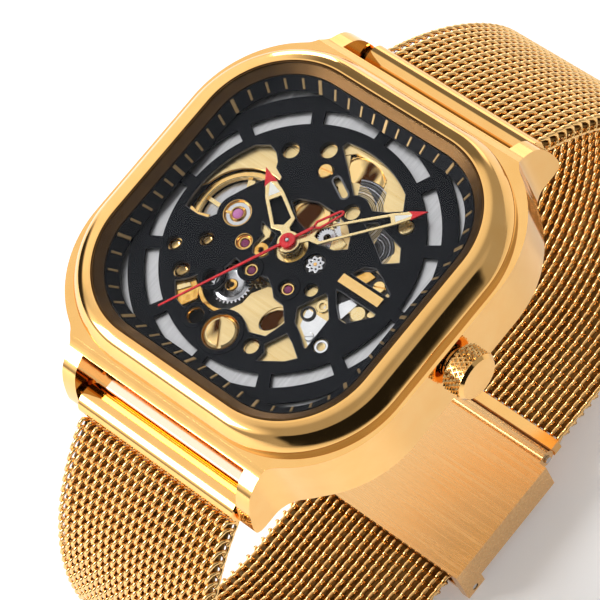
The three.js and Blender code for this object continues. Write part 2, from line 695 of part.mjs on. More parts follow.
// ---------------------------------------------------------------- case back
function caseBack() {
  const profile = [
    [BACK.window, -8.75], [BACK.window, BACK.bottom], [16.0, BACK.bottom], [17.2, BACK.edge],
    [17.2, BACK.top], [12.6, BACK.top], [12.6, -8.75],
  ];
  const plate = turned(profile, 32);
  const ears = BACK_SCREWS.map((at) => rodZ(1.5, BACK.edge, BACK.top, at, 14));
  const holes = BACK_SCREWS.flatMap((at) => [
    rodZ(0.75, -9, -7, at, 8),
    rodZ(1.35, -10, BACK.edge, at, 12),
  ]);
  return cut(join(plate, ...ears), ...holes);
}
add("case_back", caseBack(), steel());
add("back_window", rodZ(12.4, -8.6, -8.15, CENTRE, 40), glass());
BACK_SCREWS.forEach((at, i) => {
  const screw = join(rodZ(1.15, -8.95, BACK.edge - 0.1, at, 12), rodZ(0.6, -8.5, -5.7, at, 8));
  add(`back_screw_${i + 1}`, screw, gold());
});

// ---------------------------------------------------------------- crown and winding stem
add("crown_tube", cut(rodX(1.6, 16.2, 21.15, [0, CROWN_Z]), rodX(0.75, 15, 22, [0, CROWN_Z])), steel());

function crown() {
  const { radius, base, face, chamfer } = CROWN;
  const profile = [
    [0, base + 0.35], [0.9, base + 0.35], [0.9, base], [radius - 0.5, base], [radius, base + 0.5],
    [radius, face - chamfer - 0.1], [radius - chamfer, face], [0, face],
  ];
  return turned(profile, 24).rotateY(Math.PI / 2).translate(0, 0, CROWN_Z);
}
add("crown", crown(), gold());

function windingStem() {
  const at = [0, CROWN_Z];
  return join(rodX(0.5, 8.6, CROWN.base + 0.25, at, 12), rodX(0.95, 9.0, 10.2, at, 12));
}
add("winding_stem", windingStem(), steel());
add("setting_lever", polygonLever(), steel());

function polygonLever() {
  const outline = [[10.6, -1.2], [11.7, -1.2], [11.9, 0.9], [11.3, 3.4], [10.6, 3.4], [10.4, 0.9]];
  return extrudeZ(polygon(outline), -4.4, -4.1);
}

// ---------------------------------------------------------------- spring bars and end tubes
for (const [side, sy] of [["12", 1], ["6", -1]]) {
  const at = [sy * BAR.y, BAR.z];
  const bar = join(
    rodX(BAR.radius, -10.9, 10.9, at, 12),
    rodX(BAR.tipRadius, -BAR.reach, BAR.reach, at, 10),
  );
  add(`spring_bar_${side}`, bar, steel());
  const tube = rodX(TUBE.radius, -TUBE.half, TUBE.half, at, 24);
  add(`end_tube_${side}`, cut(tube, rodX(TUBE.bore, -12, 12, at, 16)), gold());
}

// ---------------------------------------------------------------- mesh band halves
// A half's centre line as [y, z, heading], from one heading to another, with z from the surface.
function bandLine(half, from, to) {
  const { heading, arcs } = BEND[half];
  let y = BAR.y + MESH.start * cosd(heading);
  let z = DIAL_HEIGHT + BAR.z - MESH.start * sind(heading);
  let at = heading;
  const drop = arcs.reduce(([sum, a], [r, b]) => [sum + r * (cosd(a) - cosd(b)), b], [0, heading]);
  const last = (z - MESH_Z - drop[0]) / (cosd(drop[1]) + 1);
  const line = [];
  for (const [r, end] of [...arcs, [last, 180]]) {
    const steps = Math.max(2, Math.round((end - at) / 9));
    for (let i = 0; i <= steps; i++) {
      const a = at + ((end - at) * i) / steps;
      const point = [y + r * (sind(a) - sind(at)), z - r * (cosd(at) - cosd(a)), a];
      const repeated = line.length > 0 && line.at(-1)[2] === a;
      if (a >= from - 0.01 && a <= to + 0.01 && !repeated) line.push(point);
    }
    y += r * (sind(end) - sind(at));
    z -= r * (cosd(at) - cosd(end));
    at = end;
  }
  return line;
}

// A slab of the band's thickness round a list of centre-line points.
function slab(line) {
  const offset = ([y, z, heading], side) => {
    const out = (side * MESH.thickness) / 2;
    return [y + out * sind(heading), z + out * cosd(heading)];
  };
  const outer = line.map((p) => offset(p, 1));
  const inner = line.map((p) => offset(p, -1)).reverse();
  return extrudeX(polygon([...outer, ...inner].reverse()), -MESH.half, MESH.half);
}

// Each half has one joint where it points straight down: a half-round end above, a seat below.
const DOWN = 90;
const endRod = (half, radius, reach) => {
  const [y, z] = bandLine(half, DOWN, DOWN)[0];
  return rodX(radius, -reach, reach, [y, z], 20);
};

function upperHalf(half) {
  const line = bandLine(half, BEND[half].heading, DOWN);
  return join(slab(line), endRod(half, MESH.thickness / 2, MESH.half));
}

function lowerHalf(half) {
  const line = bandLine(half, DOWN, 180);
  line.push([BAND_END[half], MESH_Z, 180]);
  return cut(slab(line), endRod(half, MESH.thickness / 2 + FLEX_GAP, 12));
}
add("mesh_12_upper", upperHalf(12), gold(), watch);
add("mesh_12_lower", lowerHalf(12), gold(), watch);
add("mesh_6_upper", upperHalf(6).rotateZ(Math.PI), gold(), watch);
add("mesh_6_lower", lowerHalf(6).rotateZ(Math.PI), gold(), watch);

// ---------------------------------------------------------------- clasp
// End cap of the 12 o'clock half. Its nose has a half-round seat for the clasp's hinge barrel.
function bandEnd12() {
  const nose = block(-10.7, 10.7, CLASP_PIN.y + 1.0, BAND_END[12] - 0.1, MESH_Z - 0.85, MESH_Z + 0.85);
  const seat = rodX(CLASP_PIN.barrel + FLEX_GAP, -12, 12, [CLASP_PIN.y, CLASP_PIN.z], 20);
  return cut(nose, seat);
}
add("band_end_12", bandEnd12(), gold(), watch);
const capEnd = 0.1 - BAND_END[6];
add("band_end_6", block(-10.7, 10.7, capEnd, capEnd + 1.2, MESH_Z - 0.9, MESH_Z + 0.9), gold(), watch);

// The clasp's box: the 6 o'clock half slides into its channel, and its floor is slotted for the
// lock's cam. A barrel along its far edge carries the hinge pin.
function claspFrame() {
  const { y0, y1, half, top, bottom, wall } = CLASP;
  const box = block(-half, half, y0, y1, bottom, top);
  const channel = block(wall - half, half - wall, y0 - 1, y1 - 0.9, MESH_Z - 1.25, MESH_Z + 1.3);
  const camSlot = block(-8, 8, -6.7, -3.9, 0, 3);
  const pinAt = [CLASP_PIN.y, CLASP_PIN.z];
  const barrel = join(
    rodX(CLASP_PIN.barrel, -10.6, 10.6, pinAt, 20),
    block(-10.6, 10.6, y1 - 0.5, CLASP_PIN.y - 0.3, MESH_Z - 0.8, MESH_Z + 0.8),
  );
  const ears = [-1, 1].map((side) => {
    const middle = side * (half - 0.55);
    return block(middle - 0.55, middle + 0.55, y0, y0 + 2.8, 0.15, bottom + 0.5);
  });
  return cut(
    join(cut(box, channel, camSlot), barrel, ...ears),
    rodX(LOCK_PIN.radius + 0.05, -14, 14, [LOCK_PIN.y, LOCK_PIN.z], 12),
    rodX(CLASP_PIN.radius + 0.05, -14, 14, pinAt, 12),
  );
}
add("clasp_frame", claspFrame(), gold(), watch);

// The lock: a leaf under the box, whose cam presses on the mesh through the slot in the floor.
function claspLock() {
  const pinAt = [LOCK_PIN.y, LOCK_PIN.z];
  const leaf = block(-10.8, 10.8, LOCK_PIN.y, 6.4, 0, 0.85);
  const lip = block(-4, 4, 6.2, 7.0, 0, 1.3);
  const knuckle = rodX(0.85, -10.8, 10.8, pinAt, 16);
  const cam = block(-7.6, 7.6, -6.3, -4.9, 0.5, 2.3);
  return cut(join(leaf, lip, knuckle, cam), rodX(LOCK_PIN.radius + FIT, -12, 12, pinAt, 12));
}
add("clasp_lock", claspLock(), gold(), watch);
const lockPinAt = [LOCK_PIN.y, LOCK_PIN.z];
add("clasp_lock_pin", rodX(LOCK_PIN.radius, -12.1, 12.1, lockPinAt, 10), steel(), watch);
const hingePinAt = [CLASP_PIN.y, CLASP_PIN.z];
add("clasp_hinge_pin", rodX(CLASP_PIN.radius, -10.9, 10.9, hingePinAt, 10), steel(), watch);

export default watch;
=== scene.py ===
"""Looks for the gold cushion-shaped wristwatch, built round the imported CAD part.

Lengths are millimetres from the middle of the top of the dial unless a comment says otherwise;
to_metres() turns them into the frame's metres. 12 o'clock is +Y and the crown is +X.
"""

import math

import bmesh
import bpy
from mathutils import Matrix, Vector


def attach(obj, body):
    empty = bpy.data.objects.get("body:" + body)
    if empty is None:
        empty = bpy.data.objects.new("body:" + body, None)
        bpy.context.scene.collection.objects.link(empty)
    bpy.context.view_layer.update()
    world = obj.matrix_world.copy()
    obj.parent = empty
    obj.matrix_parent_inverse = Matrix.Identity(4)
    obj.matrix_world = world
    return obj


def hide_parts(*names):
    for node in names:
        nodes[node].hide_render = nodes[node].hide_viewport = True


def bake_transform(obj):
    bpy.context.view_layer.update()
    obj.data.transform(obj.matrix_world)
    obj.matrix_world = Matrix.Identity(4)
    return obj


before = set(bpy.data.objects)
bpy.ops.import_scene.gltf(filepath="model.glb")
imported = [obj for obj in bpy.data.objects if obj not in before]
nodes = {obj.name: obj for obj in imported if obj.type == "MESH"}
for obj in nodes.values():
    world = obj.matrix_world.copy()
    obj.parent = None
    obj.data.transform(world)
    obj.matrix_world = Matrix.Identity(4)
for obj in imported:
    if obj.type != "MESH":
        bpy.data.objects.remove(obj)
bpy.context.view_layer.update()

MM = 0.001
DIAL_TOP = 58.4  # top of the dial above the surface that the clasp stands on
AXIS = 0.001  # radius of a turned profile's points on its axis, which can't be 0


def to_metres(x, y, z):
    return Vector((x * MM, y * MM, (z + DIAL_TOP) * MM))


def polar(r, degrees):
    return r * math.cos(math.radians(degrees)), r * math.sin(math.radians(degrees))


def arc(cx, cy, r, start, end, steps):
    """Points of an arc, from one angle to another in degrees."""
    turns = [polar(r, start + (end - start) * i / steps) for i in range(steps + 1)]
    return [(cx + x, cy + y) for x, y in turns]


def circle(cx, cy, r, steps=32):
    return arc(cx, cy, r, 0, 360, steps)[:-1]


def turn_points(points, degrees, at=(0, 0)):
    c, s = polar(1, degrees)
    return [(at[0] + x * c - y * s, at[1] + x * s + y * c) for x, y in points]


# ---------------------------------------------------------------- materials
def set_inputs(node, values):
    for name, value in values.items():
        node.inputs[name].default_value = value


class Nodes:
    """A small helper round one material's node tree."""

    def __init__(self, name):
        self.material = bpy.data.materials.new(name)
        self.material.use_nodes = True
        self.tree = self.material.node_tree
        self.shader = self.tree.nodes["Principled BSDF"]
        self.place = self.add("ShaderNodeTexCoord").outputs["Object"]

    def add(self, kind, values=None):
        node = self.tree.nodes.new(kind)
        set_inputs(node, values or {})
        return node

    def link(self, a, b):
        self.tree.links.new(a, b)

    def noise(self, scale, detail=3.0, stretch=(1, 1, 1), turn=(0, 0, 0)):
        mapping = self.add("ShaderNodeMapping", {"Scale": stretch, "Rotation": turn})
        self.link(self.place, mapping.inputs["Vector"])
        node = self.add("ShaderNodeTexNoise", {"Scale": scale, "Detail": detail})
        self.link(mapping.outputs["Vector"], node.inputs["Vector"])
        return node.outputs["Fac"]

    def ramp(self, factor, stops):
        node = self.add("ShaderNodeValToRGB")
        elements = node.color_ramp.elements
        for i, (position, color) in enumerate(stops):
            element = elements[i] if i < 2 else elements.new(position)
            element.position = position
            element.color = (*color, 1)
        self.link(factor, node.inputs["Fac"])
        return node.outputs["Color"]

    def range(self, factor, low, high, start=0.3, full=0.7):
        node = self.add("ShaderNodeMapRange", {"From Min": start, "From Max": full,
                                               "To Min": low, "To Max": high})
        self.link(factor, node.inputs["Value"])
        return node.outputs["Result"]

    def paint(self, grain, stops, rough):
        """Colour and roughness that follow one noise."""
        self.link(self.ramp(grain, stops), self.shader.inputs["Base Color"])
        self.link(self.range(grain, *rough), self.shader.inputs["Roughness"])

    def bump(self, height, strength, distance):
        node = self.add("ShaderNodeBump", {"Strength": strength, "Distance": distance})
        self.link(height, node.inputs["Height"])
        self.link(node.outputs["Normal"], self.shader.inputs["Normal"])


def surface(name, dark, light, rough, metallic=1.0, scale=900, stretch=(1, 1, 1), turn=(0, 0, 0),
            bump=0.0, depth=2e-5, gloss=0.5, between=(0.3, 0.7), detail=4.0):
    """A finish whose colour, roughness and relief all follow one noise. Scale is per metre."""
    n = Nodes(name)
    grain = n.noise(scale, detail, stretch, turn)
    n.paint(grain, [(between[0], dark), (between[1], light)], rough)
    set_inputs(n.shader, {"Metallic": metallic, "Specular IOR Level": gloss})
    if bump:
        n.bump(grain, bump, depth)
    return n.material


BRUSHED_X = (0.02, 1, 1)
BRUSHED_Y = (1, 0.02, 1)
GOLD = surface("polished_gold", (0.94, 0.53, 0.17), (0.97, 0.57, 0.20), (0.06, 0.11), scale=400)
GOLD_SATIN = surface("satin_gold", (0.84, 0.50, 0.21), (0.92, 0.58, 0.26), (0.2, 0.32),
                     scale=3000, stretch=BRUSHED_X, bump=0.15)
MESH_GOLD = surface("mesh_gold", (0.94, 0.55, 0.19), (1.0, 0.65, 0.27), (0.14, 0.24), scale=1500)
# Dark gold of the weave's inner wires: painted shade deep between the coils.
WEAVE_SHADE_GOLD = surface("weave_painted_shade", (0.14, 0.07, 0.018), (0.32, 0.17, 0.045), (0.35, 0.5), scale=1500)
PALE_GOLD = surface("pale_gold", (0.86, 0.66, 0.32), (0.93, 0.74, 0.40), (0.2, 0.34), scale=1800)
TRIM_GOLD = surface("trim_gold", (0.86, 0.54, 0.19), (0.93, 0.62, 0.25), (0.12, 0.24), scale=2400)
GILT = surface("gilt_brass", (0.80, 0.58, 0.26), (0.92, 0.72, 0.38), (0.26, 0.42),
               scale=2600, stretch=BRUSHED_X, turn=(0, 0, 0.6), bump=0.3)
SILVER = surface("brushed_silver", (0.50, 0.50, 0.51), (0.66, 0.66, 0.67), (0.3, 0.5),
                 scale=3500, stretch=BRUSHED_Y, turn=(0, 0, 0.7), bump=0.35)
STEEL = surface("polished_steel", (0.58, 0.58, 0.60), (0.68, 0.68, 0.70), (0.14, 0.28), scale=1200)
EDGE_GREY = surface("cut_edge", (0.10, 0.10, 0.105), (0.2, 0.2, 0.21), (0.35, 0.5), scale=2500)
MIRROR = surface("bright_steel", (0.78, 0.79, 0.80), (0.88, 0.88, 0.89), (0.1, 0.22), scale=900)
DARK_STEEL = surface("dark_steel", (0.03, 0.03, 0.035), (0.09, 0.085, 0.08), (0.3, 0.5), scale=1500)
DIAL_BLACK = surface("dial_black", (0.0032, 0.004, 0.0068), (0.0052, 0.0066, 0.0098), (0.42, 0.6),
                     metallic=0.0, scale=9000, bump=0.12, depth=8e-6, gloss=0.08)
RUBY = surface("ruby", (0.16, 0.012, 0.07), (0.30, 0.03, 0.15), (0.04, 0.1), metallic=0.0)
PINK_RUBY = surface("pink_ruby", (0.42, 0.12, 0.33), (0.62, 0.22, 0.5), (0.04, 0.1), metallic=0.0)
AMBER = surface("amber_gold", (0.70, 0.34, 0.05), (0.95, 0.60, 0.20), (0.12, 0.26), scale=1600)
# Polished gold whose colour swings from near black to cream in large patches: painted reflections of
# a polished hollow.
PAINTED_REFLECTION_GOLD = surface("polished_gold_painted_reflections", (0.05, 0.014, 0.002), (1.0, 0.70, 0.30), (0.08, 0.18), scale=650,
              stretch=(1, 0.4, 1), turn=(0, 0, 0.5), between=(0.40, 0.58), detail=0.6)
MARK_GOLD = surface("mark_gold", (0.44, 0.30, 0.14), (0.56, 0.39, 0.19), (0.45, 0.6), scale=2400)
# Dark brown gold for the bezel's inner walls and lip: painted shade.
WALL_GOLD = surface("shaded_gold", (0.075, 0.038, 0.014), (0.115, 0.062, 0.024), (0.36, 0.46))
# Paler, pinker gold for the bezel's low outer faces: a painted reflection of the pale floor.
FLOOR_REFLECTION_GOLD = surface("peach_gold_painted_reflection", (0.98, 0.72, 0.40), (1.0, 0.76, 0.44), (0.12, 0.15), scale=300)
LUME = surface("lume", (0.80, 0.80, 0.74), (0.90, 0.90, 0.86), (0.5, 0.7), metallic=0.0,
               scale=12000, bump=0.2, depth=1e-5)
RED = surface("red_lacquer", (0.62, 0.006, 0.012), (0.74, 0.012, 0.020), (0.18, 0.3), metallic=0.0)
RUBBER = surface("rubber", (0.010, 0.010, 0.010), (0.02, 0.02, 0.02), (0.6, 0.8), metallic=0.0)
NYLON = surface("nylon", (0.02, 0.02, 0.022), (0.035, 0.035, 0.038), (0.5, 0.7), metallic=0.0)
BLUED = surface("spring_steel", (0.30, 0.30, 0.33), (0.44, 0.44, 0.48), (0.2, 0.35), scale=2500)


def glass_material(name, faintest, strongest):
    """A clear pane that only adds its reflection: a mirror seen through a faint, angle-led alpha."""
    n = Nodes(name)
    haze = n.noise(60, 2.0)
    n.paint(haze, [(0.3, (0.93, 0.96, 0.98)), (0.7, (1, 1, 1))], (0.01, 0.03))
    set_inputs(n.shader, {"Metallic": 1.0, "Alpha": 0.08})
    edge = n.add("ShaderNodeLayerWeight", {"Blend": 0.12})
    alpha = n.range(edge.outputs["Fresnel"], faintest, strongest, 0.0, 1.0)
    n.link(alpha, n.shader.inputs["Alpha"])
    return n.material


GLASS = glass_material("sapphire_glass", 0.004, 0.45)


# ---------------------------------------------------------------- making meshes
def add_object(name, data):
    obj = bpy.data.objects.new(name, data)
    bpy.context.scene.collection.objects.link(obj)
    return obj


def new_object(name, verts, faces, material, smooth=True):
    """A mesh from points that are already in metres."""
    mesh = bpy.data.meshes.new(name)
    mesh.from_pydata([tuple(v) for v in verts], [], faces)
    mesh.validate()
    mesh.update()
    mesh.materials.append(material)
    if smooth:
        mesh.shade_smooth()
    return add_object(name, mesh)


def evaluated_mesh(obj):
    """A mesh of the object with its modifiers or its curve's fill applied."""
    graph = bpy.context.evaluated_depsgraph_get()
    return bpy.data.meshes.new_from_object(obj.evaluated_get(graph))


def sharpen(obj, degrees):
    """Smooth shading that keeps edges sharper than this angle."""
    obj.data.shade_smooth()
    obj.data.set_sharp_from_angle(angle=math.radians(degrees))


def bevel(obj, width, segments, degrees):
    """Rounds an object's sharp edges; width in millimetres."""
    m = obj.modifiers.new("bevel", "BEVEL")
    m.width = width * MM
    m.segments = segments
    m.limit_method = "ANGLE"
    m.angle_limit = math.radians(degrees)


def fix_normals(obj):
    """Merges double points and turns all faces outwards."""
    bm = bmesh.new()
    bm.from_mesh(obj.data)
    bmesh.ops.remove_doubles(bm, verts=bm.verts, dist=1e-7)
    bmesh.ops.recalc_face_normals(bm, faces=bm.faces)
    bm.to_mesh(obj.data)
    bm.free()


def finished(obj, degrees=35):
    fix_normals(obj)
    sharpen(obj, degrees)
    return obj


def flat_shape(name, outlines, z0, z1, material, edge=0.0, to_world=to_metres):
    """Outlines of (x, y), the first one outside and the rest holes, filled from z0 to z1."""
    curve = bpy.data.curves.new(name, "CURVE")
    curve.dimensions = "2D"
    curve.fill_mode = "BOTH"
    for points in outlines:
        spline = curve.splines.new("POLY")
        spline.points.add(len(points) - 1)
        for p, (x, y) in zip(spline.points, points):
            p.co = (x, y, 0, 1)
        spline.use_cyclic_u = True
    half = (z1 - z0) / 2
    curve.extrude = max(half - edge, 0)
    curve.bevel_depth = edge
    curve.bevel_resolution = 2
    curve.offset = -edge
    temp = add_object(name, curve)
    mesh = evaluated_mesh(temp)
    bpy.data.objects.remove(temp)
    for v in mesh.vertices:
        x, y, z = v.co
        v.co = to_world(x, y, z + (z0 + z1) / 2)
    mesh.materials.clear()
    mesh.materials.append(material)
    return finished(add_object(name, mesh))


def grid_faces(rings, sides, closed):
    """Faces between rings of points; when closed, also from the last ring back to the first."""
    faces = []
    for j in range(rings if closed else rings - 1):
        here, there = j * sides, (j + 1) % rings * sides
        for i in range(sides):
            n = (i + 1) % sides
            faces.append((here + i, here + n, there + n, there + i))
    return faces


def tube_faces(base, rings, sides):
    """Faces of a closed tube whose points start at base, ring by ring."""
    faces = [tuple(base + i for i in face) for face in grid_faces(rings, sides, False)]
    end = base + (rings - 1) * sides
    return faces + [tuple(reversed(range(base, base + sides))), tuple(range(end, end + sides))]


def revolved(name, profile, material, at=(0, 0), segments=48, axis="z"):
    """Turns a closed profile of (radius, height) about the upright line through at, or about X.

    A bare height in the profile is a point on the axis.
    """
    verts = []
    for point in profile:
        r, h = point if isinstance(point, tuple) else (AXIS, point)
        for x, y in circle(*at, r, segments):
            verts.append(to_metres(x, y, h) if axis == "z" else to_metres(h, x, y))
    faces = grid_faces(len(profile), segments, True)
    return finished(new_object(name, verts, faces, material))


def ring(name, at, inner, outer, z0, z1, material, edge=0.04, segments=40):
    """A flat ring with softened edges."""
    profile = [
        (inner, z0), (outer, z0), (outer, z1 - edge), (outer - edge, z1), (inner + edge, z1),
        (inner, z1 - edge),
    ]
    return revolved(name, profile, material, at, segments)


def disc(name, at, radius, z0, z1, material, edge=0.05, segments=40):
    profile = [z0, (radius, z0), (radius, z1 - edge), (radius - edge, z1), z1]
    return revolved(name, profile, material, at, segments)


def join(name, objects):
    """Joins objects that ride together into one piece."""
    materials, verts, faces, slots, smooth, sharp = [], [], [], [], [], set()
    for o in objects:
        base = len(verts)
        verts.extend(v.co.copy() for v in o.data.vertices)
        own = []
        for m in o.data.materials:
            if m not in materials:
                materials.append(m)
            own.append(materials.index(m))
        sharp_edges = [tuple(e.vertices) for e in o.data.edges if e.use_edge_sharp]
        sharp.update((base + a, base + b) for a, b in sharp_edges)
        for p in o.data.polygons:
            faces.append([base + v for v in p.vertices])
            slots.append(own[p.material_index])
            smooth.append(p.use_smooth)
    mesh = bpy.data.meshes.new(name)
    mesh.from_pydata(verts, [], faces)
    for m in materials:
        mesh.materials.append(m)
    mesh.polygons.foreach_set("material_index", slots)
    mesh.polygons.foreach_set("use_smooth", smooth)
    for e in mesh.edges:
        a, b = e.vertices
        e.use_edge_sharp = (a, b) in sharp or (b, a) in sharp
    mesh.update()
    for o in objects:
        bpy.data.objects.remove(o)
    return add_object(name, mesh)


def place(obj, body, slot, *replaced):
    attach(obj, body)
    if replaced:
        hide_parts(*replaced)


def show(name, slot, *parts):
    """Joins parts that belong to the head and places them as one piece."""
    place(join(name, parts), "head", slot)


# ---------------------------------------------------------------- camera, light and floor
def make_camera():
    azimuth, elevation, roll = (math.radians(a) for a in (-20.53, 58.17, -32.58))
    target, distance = to_metres(4.72, -4.04, 0), 0.34492
    back = Vector((
        math.cos(elevation) * math.cos(azimuth),
        math.cos(elevation) * math.sin(azimuth),
        math.sin(elevation),
    ))
    level = Vector((-math.sin(azimuth), math.cos(azimuth), 0))
    above = back.cross(level)
    right = level * math.cos(roll) + above * math.sin(roll)
    up = back.cross(right)
    camera = add_object("camera", bpy.data.cameras.new("camera"))
    camera.data.lens = 210.2
    camera.data.sensor_width = 36
    camera.data.clip_start = 0.01
    camera.data.clip_end = 20
    turn = Matrix((right, up, back)).transposed().to_4x4()
    camera.matrix_world = Matrix.Translation(target + back * distance) @ turn
    bpy.context.scene.camera = camera


def area_light(name, towards, distance, size, watts):
    """A square soft light that faces the watch from a direction."""
    direction = Vector(towards).normalized()
    data = bpy.data.lights.new(name, "AREA")
    data.shape = "SQUARE"
    data.size = size
    data.energy = watts
    light = add_object(name, data)
    light.location = to_metres(0, 0, 0) + direction * distance
    light.rotation_euler = direction.to_track_quat("Z", "Y").to_euler()


SURROUND = 0.42  # brightness of the studio between its patches


def make_world():
    """A studio as soft patches of light on a grey surround, with one dark band at the horizon."""
    world = bpy.data.worlds.new("studio")
    bpy.context.scene.world = world
    world.use_nodes = True
    tree = world.node_tree
    sight = tree.nodes.new("ShaderNodeTexCoord").outputs["Generated"]

    def math_node(operation, *values):
        node = tree.nodes.new("ShaderNodeMath")
        node.operation = operation
        for socket, value in zip(node.inputs, values):
            if isinstance(value, (int, float)):
                socket.default_value = value
            else:
                tree.links.new(value, socket)
        return node.outputs[0]

    def facing(direction, start, full):
        """How far the line of sight points that way, from 0 at one cosine to 1 at the other."""
        dot = tree.nodes.new("ShaderNodeVectorMath")
        dot.operation = "DOT_PRODUCT"
        dot.inputs[1].default_value = Vector(direction).normalized()
        edge = tree.nodes.new("ShaderNodeMapRange")
        edge.interpolation_type = "SMOOTHSTEP"
        set_inputs(edge, {"From Min": start, "From Max": full})
        tree.links.new(sight, dot.inputs[0])
        tree.links.new(dot.outputs["Value"], edge.inputs["Value"])
        return edge.outputs["Result"]

    # Each patch: direction, cosines where it starts and is full, and its brightness.
    patches = [
        ((-0.50, 0.20, 0.84), 0.80, 0.93, 1.0),
        ((-0.50, -0.66, 0.56), 0.84, 0.985, 1.45),
        ((-0.50, 0.84, 0.14), 0.88, 0.955, 1.7),
        ((-0.50, 0.68, 0.53), 0.945, 0.975, 0.20),
        ((0.62, 0.18, 0.76), 0.90, 0.975, 0.52),
        ((-0.92, 0.18, 0.32), 0.84, 0.95, 1.2),
        ((-0.95, -0.24, 0.18), 0.93, 0.968, 0.03),
    ]
    masks = [(facing(towards, start, full), level) for towards, start, full, level in patches]
    band = math_node("MULTIPLY", facing((0, 0, 1), -0.03, 0.01), facing((0, 0, 1), 0.66, 0.60))
    band_level = 0.015
    masks.append((math_node("MULTIPLY", band, facing((0.80, -0.46, 0.38), 0.66, 0.74)), band_level))
    value = SURROUND
    for mask, level in masks:
        keep = math_node("MULTIPLY", value, math_node("SUBTRACT", 1.0, mask))
        value = math_node("ADD", keep, math_node("MULTIPLY", mask, level))
    tree.links.new(value, tree.nodes["Background"].inputs["Color"])


def make_floor():
    n = Nodes("floor_paint")
    grain = n.noise(40, 3.0)
    n.paint(grain, [(0.3, (0.86, 0.86, 0.86)), (0.7, (0.89, 0.89, 0.89))], (0.75, 0.9))
    set_inputs(n.shader, {"Emission Color": (1, 1, 1, 1), "Emission Strength": 0.22})
    reach = 0.9
    corners = [(-reach, -reach, 0), (reach, -reach, 0), (reach, reach, 0), (-reach, reach, 0)]
    floor = new_object("floor", corners, [(0, 1, 2, 3)], n.material, smooth=False)
    floor.location.z = -0.0002


bpy.context.scene.view_settings.view_transform = "Standard"  # the photo clips its highlights
make_camera()
make_world()
make_floor()
area_light("key", (-0.52, -0.66, 0.56), 0.55, 0.27, 2.3)
area_light("back_left", (-0.8, 0.75, 0.25), 0.6, 0.2, 0.9)

# ---------------------------------------------------------------- case
CASE_HALF_X, CASE_HALF_Y, CASE_CORNER = 20.85, 20.8, 13.0
LUG_OUTER, LUG_INNER, LUG_TIP, LUG_FILLET = 13.15, 11.3, 24.2, 3.0
CASE_TOP, CASE_BOTTOM, LUG_BOTTOM, CASE_BORE = -0.5, -7.6, -8.7, 15.5
CROWN_Z = -3.25
BAR_Y, BAR_Z = 23.0, -6.9


def four_fold(quarter):
    """The whole outline from its quarter, which runs from +X round to +Y."""
    left = [(-x, y) for x, y in reversed(quarter)]
    upper = quarter + left
    lower = [(-x, -y) for x, y in upper]
    points = []
    for p in upper + lower:
        if not points or math.dist(p, points[-1]) > 1e-6:
            points.append(p)
    if math.dist(points[0], points[-1]) < 1e-6:
        points.pop()
    return points


def case_plan():
    ax, ay = CASE_HALF_X - CASE_CORNER, CASE_HALF_Y - CASE_CORNER
    fx = LUG_OUTER + LUG_FILLET
    fy = ay + math.sqrt((CASE_CORNER + LUG_FILLET) ** 2 - (fx - ax) ** 2)
    meet = math.degrees(math.atan2(fy - ay, fx - ax))
    quarter = arc(ax, ay, CASE_CORNER, 0, meet, 28)
    quarter += arc(fx, fy, LUG_FILLET, 180 + meet, 180, 12)
    quarter += [(LUG_OUTER, LUG_TIP + 1), (LUG_INNER, LUG_TIP + 1), (LUG_INNER, CASE_HALF_Y)]
    return four_fold(quarter)


def smooth_through(points, steps):
    """A Catmull-Rom curve through the points."""
    out = []
    for i in range(len(points) - 1):
        p0 = points[max(i - 1, 0)]
        p1, p2 = points[i], points[i + 1]
        p3 = points[min(i + 2, len(points) - 1)]
        for k in range(steps):
            t = k / steps
            out.append(tuple(
                0.5 * (2 * b + (c - a) * t + (2 * a - 5 * b + 4 * c - d) * t * t
                       + (3 * b - a - 3 * c + d) * t ** 3)
                for a, b, c, d in zip(p0, p1, p2, p3)
            ))
    return out + [points[-1]]


def case_side():
    front = smooth_through(
        [(19.9, CASE_TOP), (20.8, -1.3), (21.9, -1.95), (22.7, -2.7), (23.35, -3.9), (23.85, -5.4),
         (LUG_TIP, -7.2), (24.15, -8.1), (23.7, -8.55), (23.0, LUG_BOTTOM)], 4)
    under = [(20.4, LUG_BOTTOM), (19.3, -8.5), (18.4, -7.95), (17.4, CASE_BOTTOM)]
    half = front + under
    return half + [(-y, z) for y, z in reversed(half)]


def boolean(obj, other, operation="DIFFERENCE"):
    m = obj.modifiers.new("cut", "BOOLEAN")
    m.object = other
    m.operation = operation
    m.solver = "EXACT"
    mesh = evaluated_mesh(obj)
    obj.modifiers.clear()
    obj.data = mesh
    bpy.data.objects.remove(other)


def along_x(y, z, x):
    """Turns a shape drawn in (y, z) and raised along x into the frame."""
    return to_metres(x, y, z)


def make_case():
    body = flat_shape("case_shell", [case_plan()], LUG_BOTTOM - 1, CASE_TOP + 1, GOLD)
    side = flat_shape("side", [case_side()], -CASE_HALF_X - 1, CASE_HALF_X + 1, GOLD,
                      to_world=along_x)
    boolean(body, side, "INTERSECT")
    # Each cut: outline, where it starts and ends, and how it lies.
    cuts = [
        (circle(0, 0, CASE_BORE, 96), -12, 2, to_metres),
        (square_outline(0.6, 0.6), -1.25, 2, to_metres),
        (circle(0, CROWN_Z, 1.75, 32), 14, 23, along_x),
    ]
    cuts += [(circle(sign * BAR_Y, BAR_Z, 0.6, 24), -13, 13, along_x) for sign in (-1, 1)]
    for angle in (45, 135, 225, 315):
        (x, y), = turn_points([(17.3, 0)], angle)
        cuts.append((circle(x, y, 0.75, 16), -9, -5.4, to_metres))
    for outline, low, high, to_world in cuts:
        boolean(body, flat_shape("cut", [outline], low, high, GOLD, to_world=to_world))
    fix_normals(body)
    body.data.materials.clear()
    body.data.materials.append(GOLD)
    sharpen(body, 32)
    bevel(body, 0.16, 3, 40)
    place(body, "head", "gold_steel", "case_body")


# ---------------------------------------------------------------- bezel, crystal and flange
OPENING, OPENING_CORNER = 17.0, 9.6


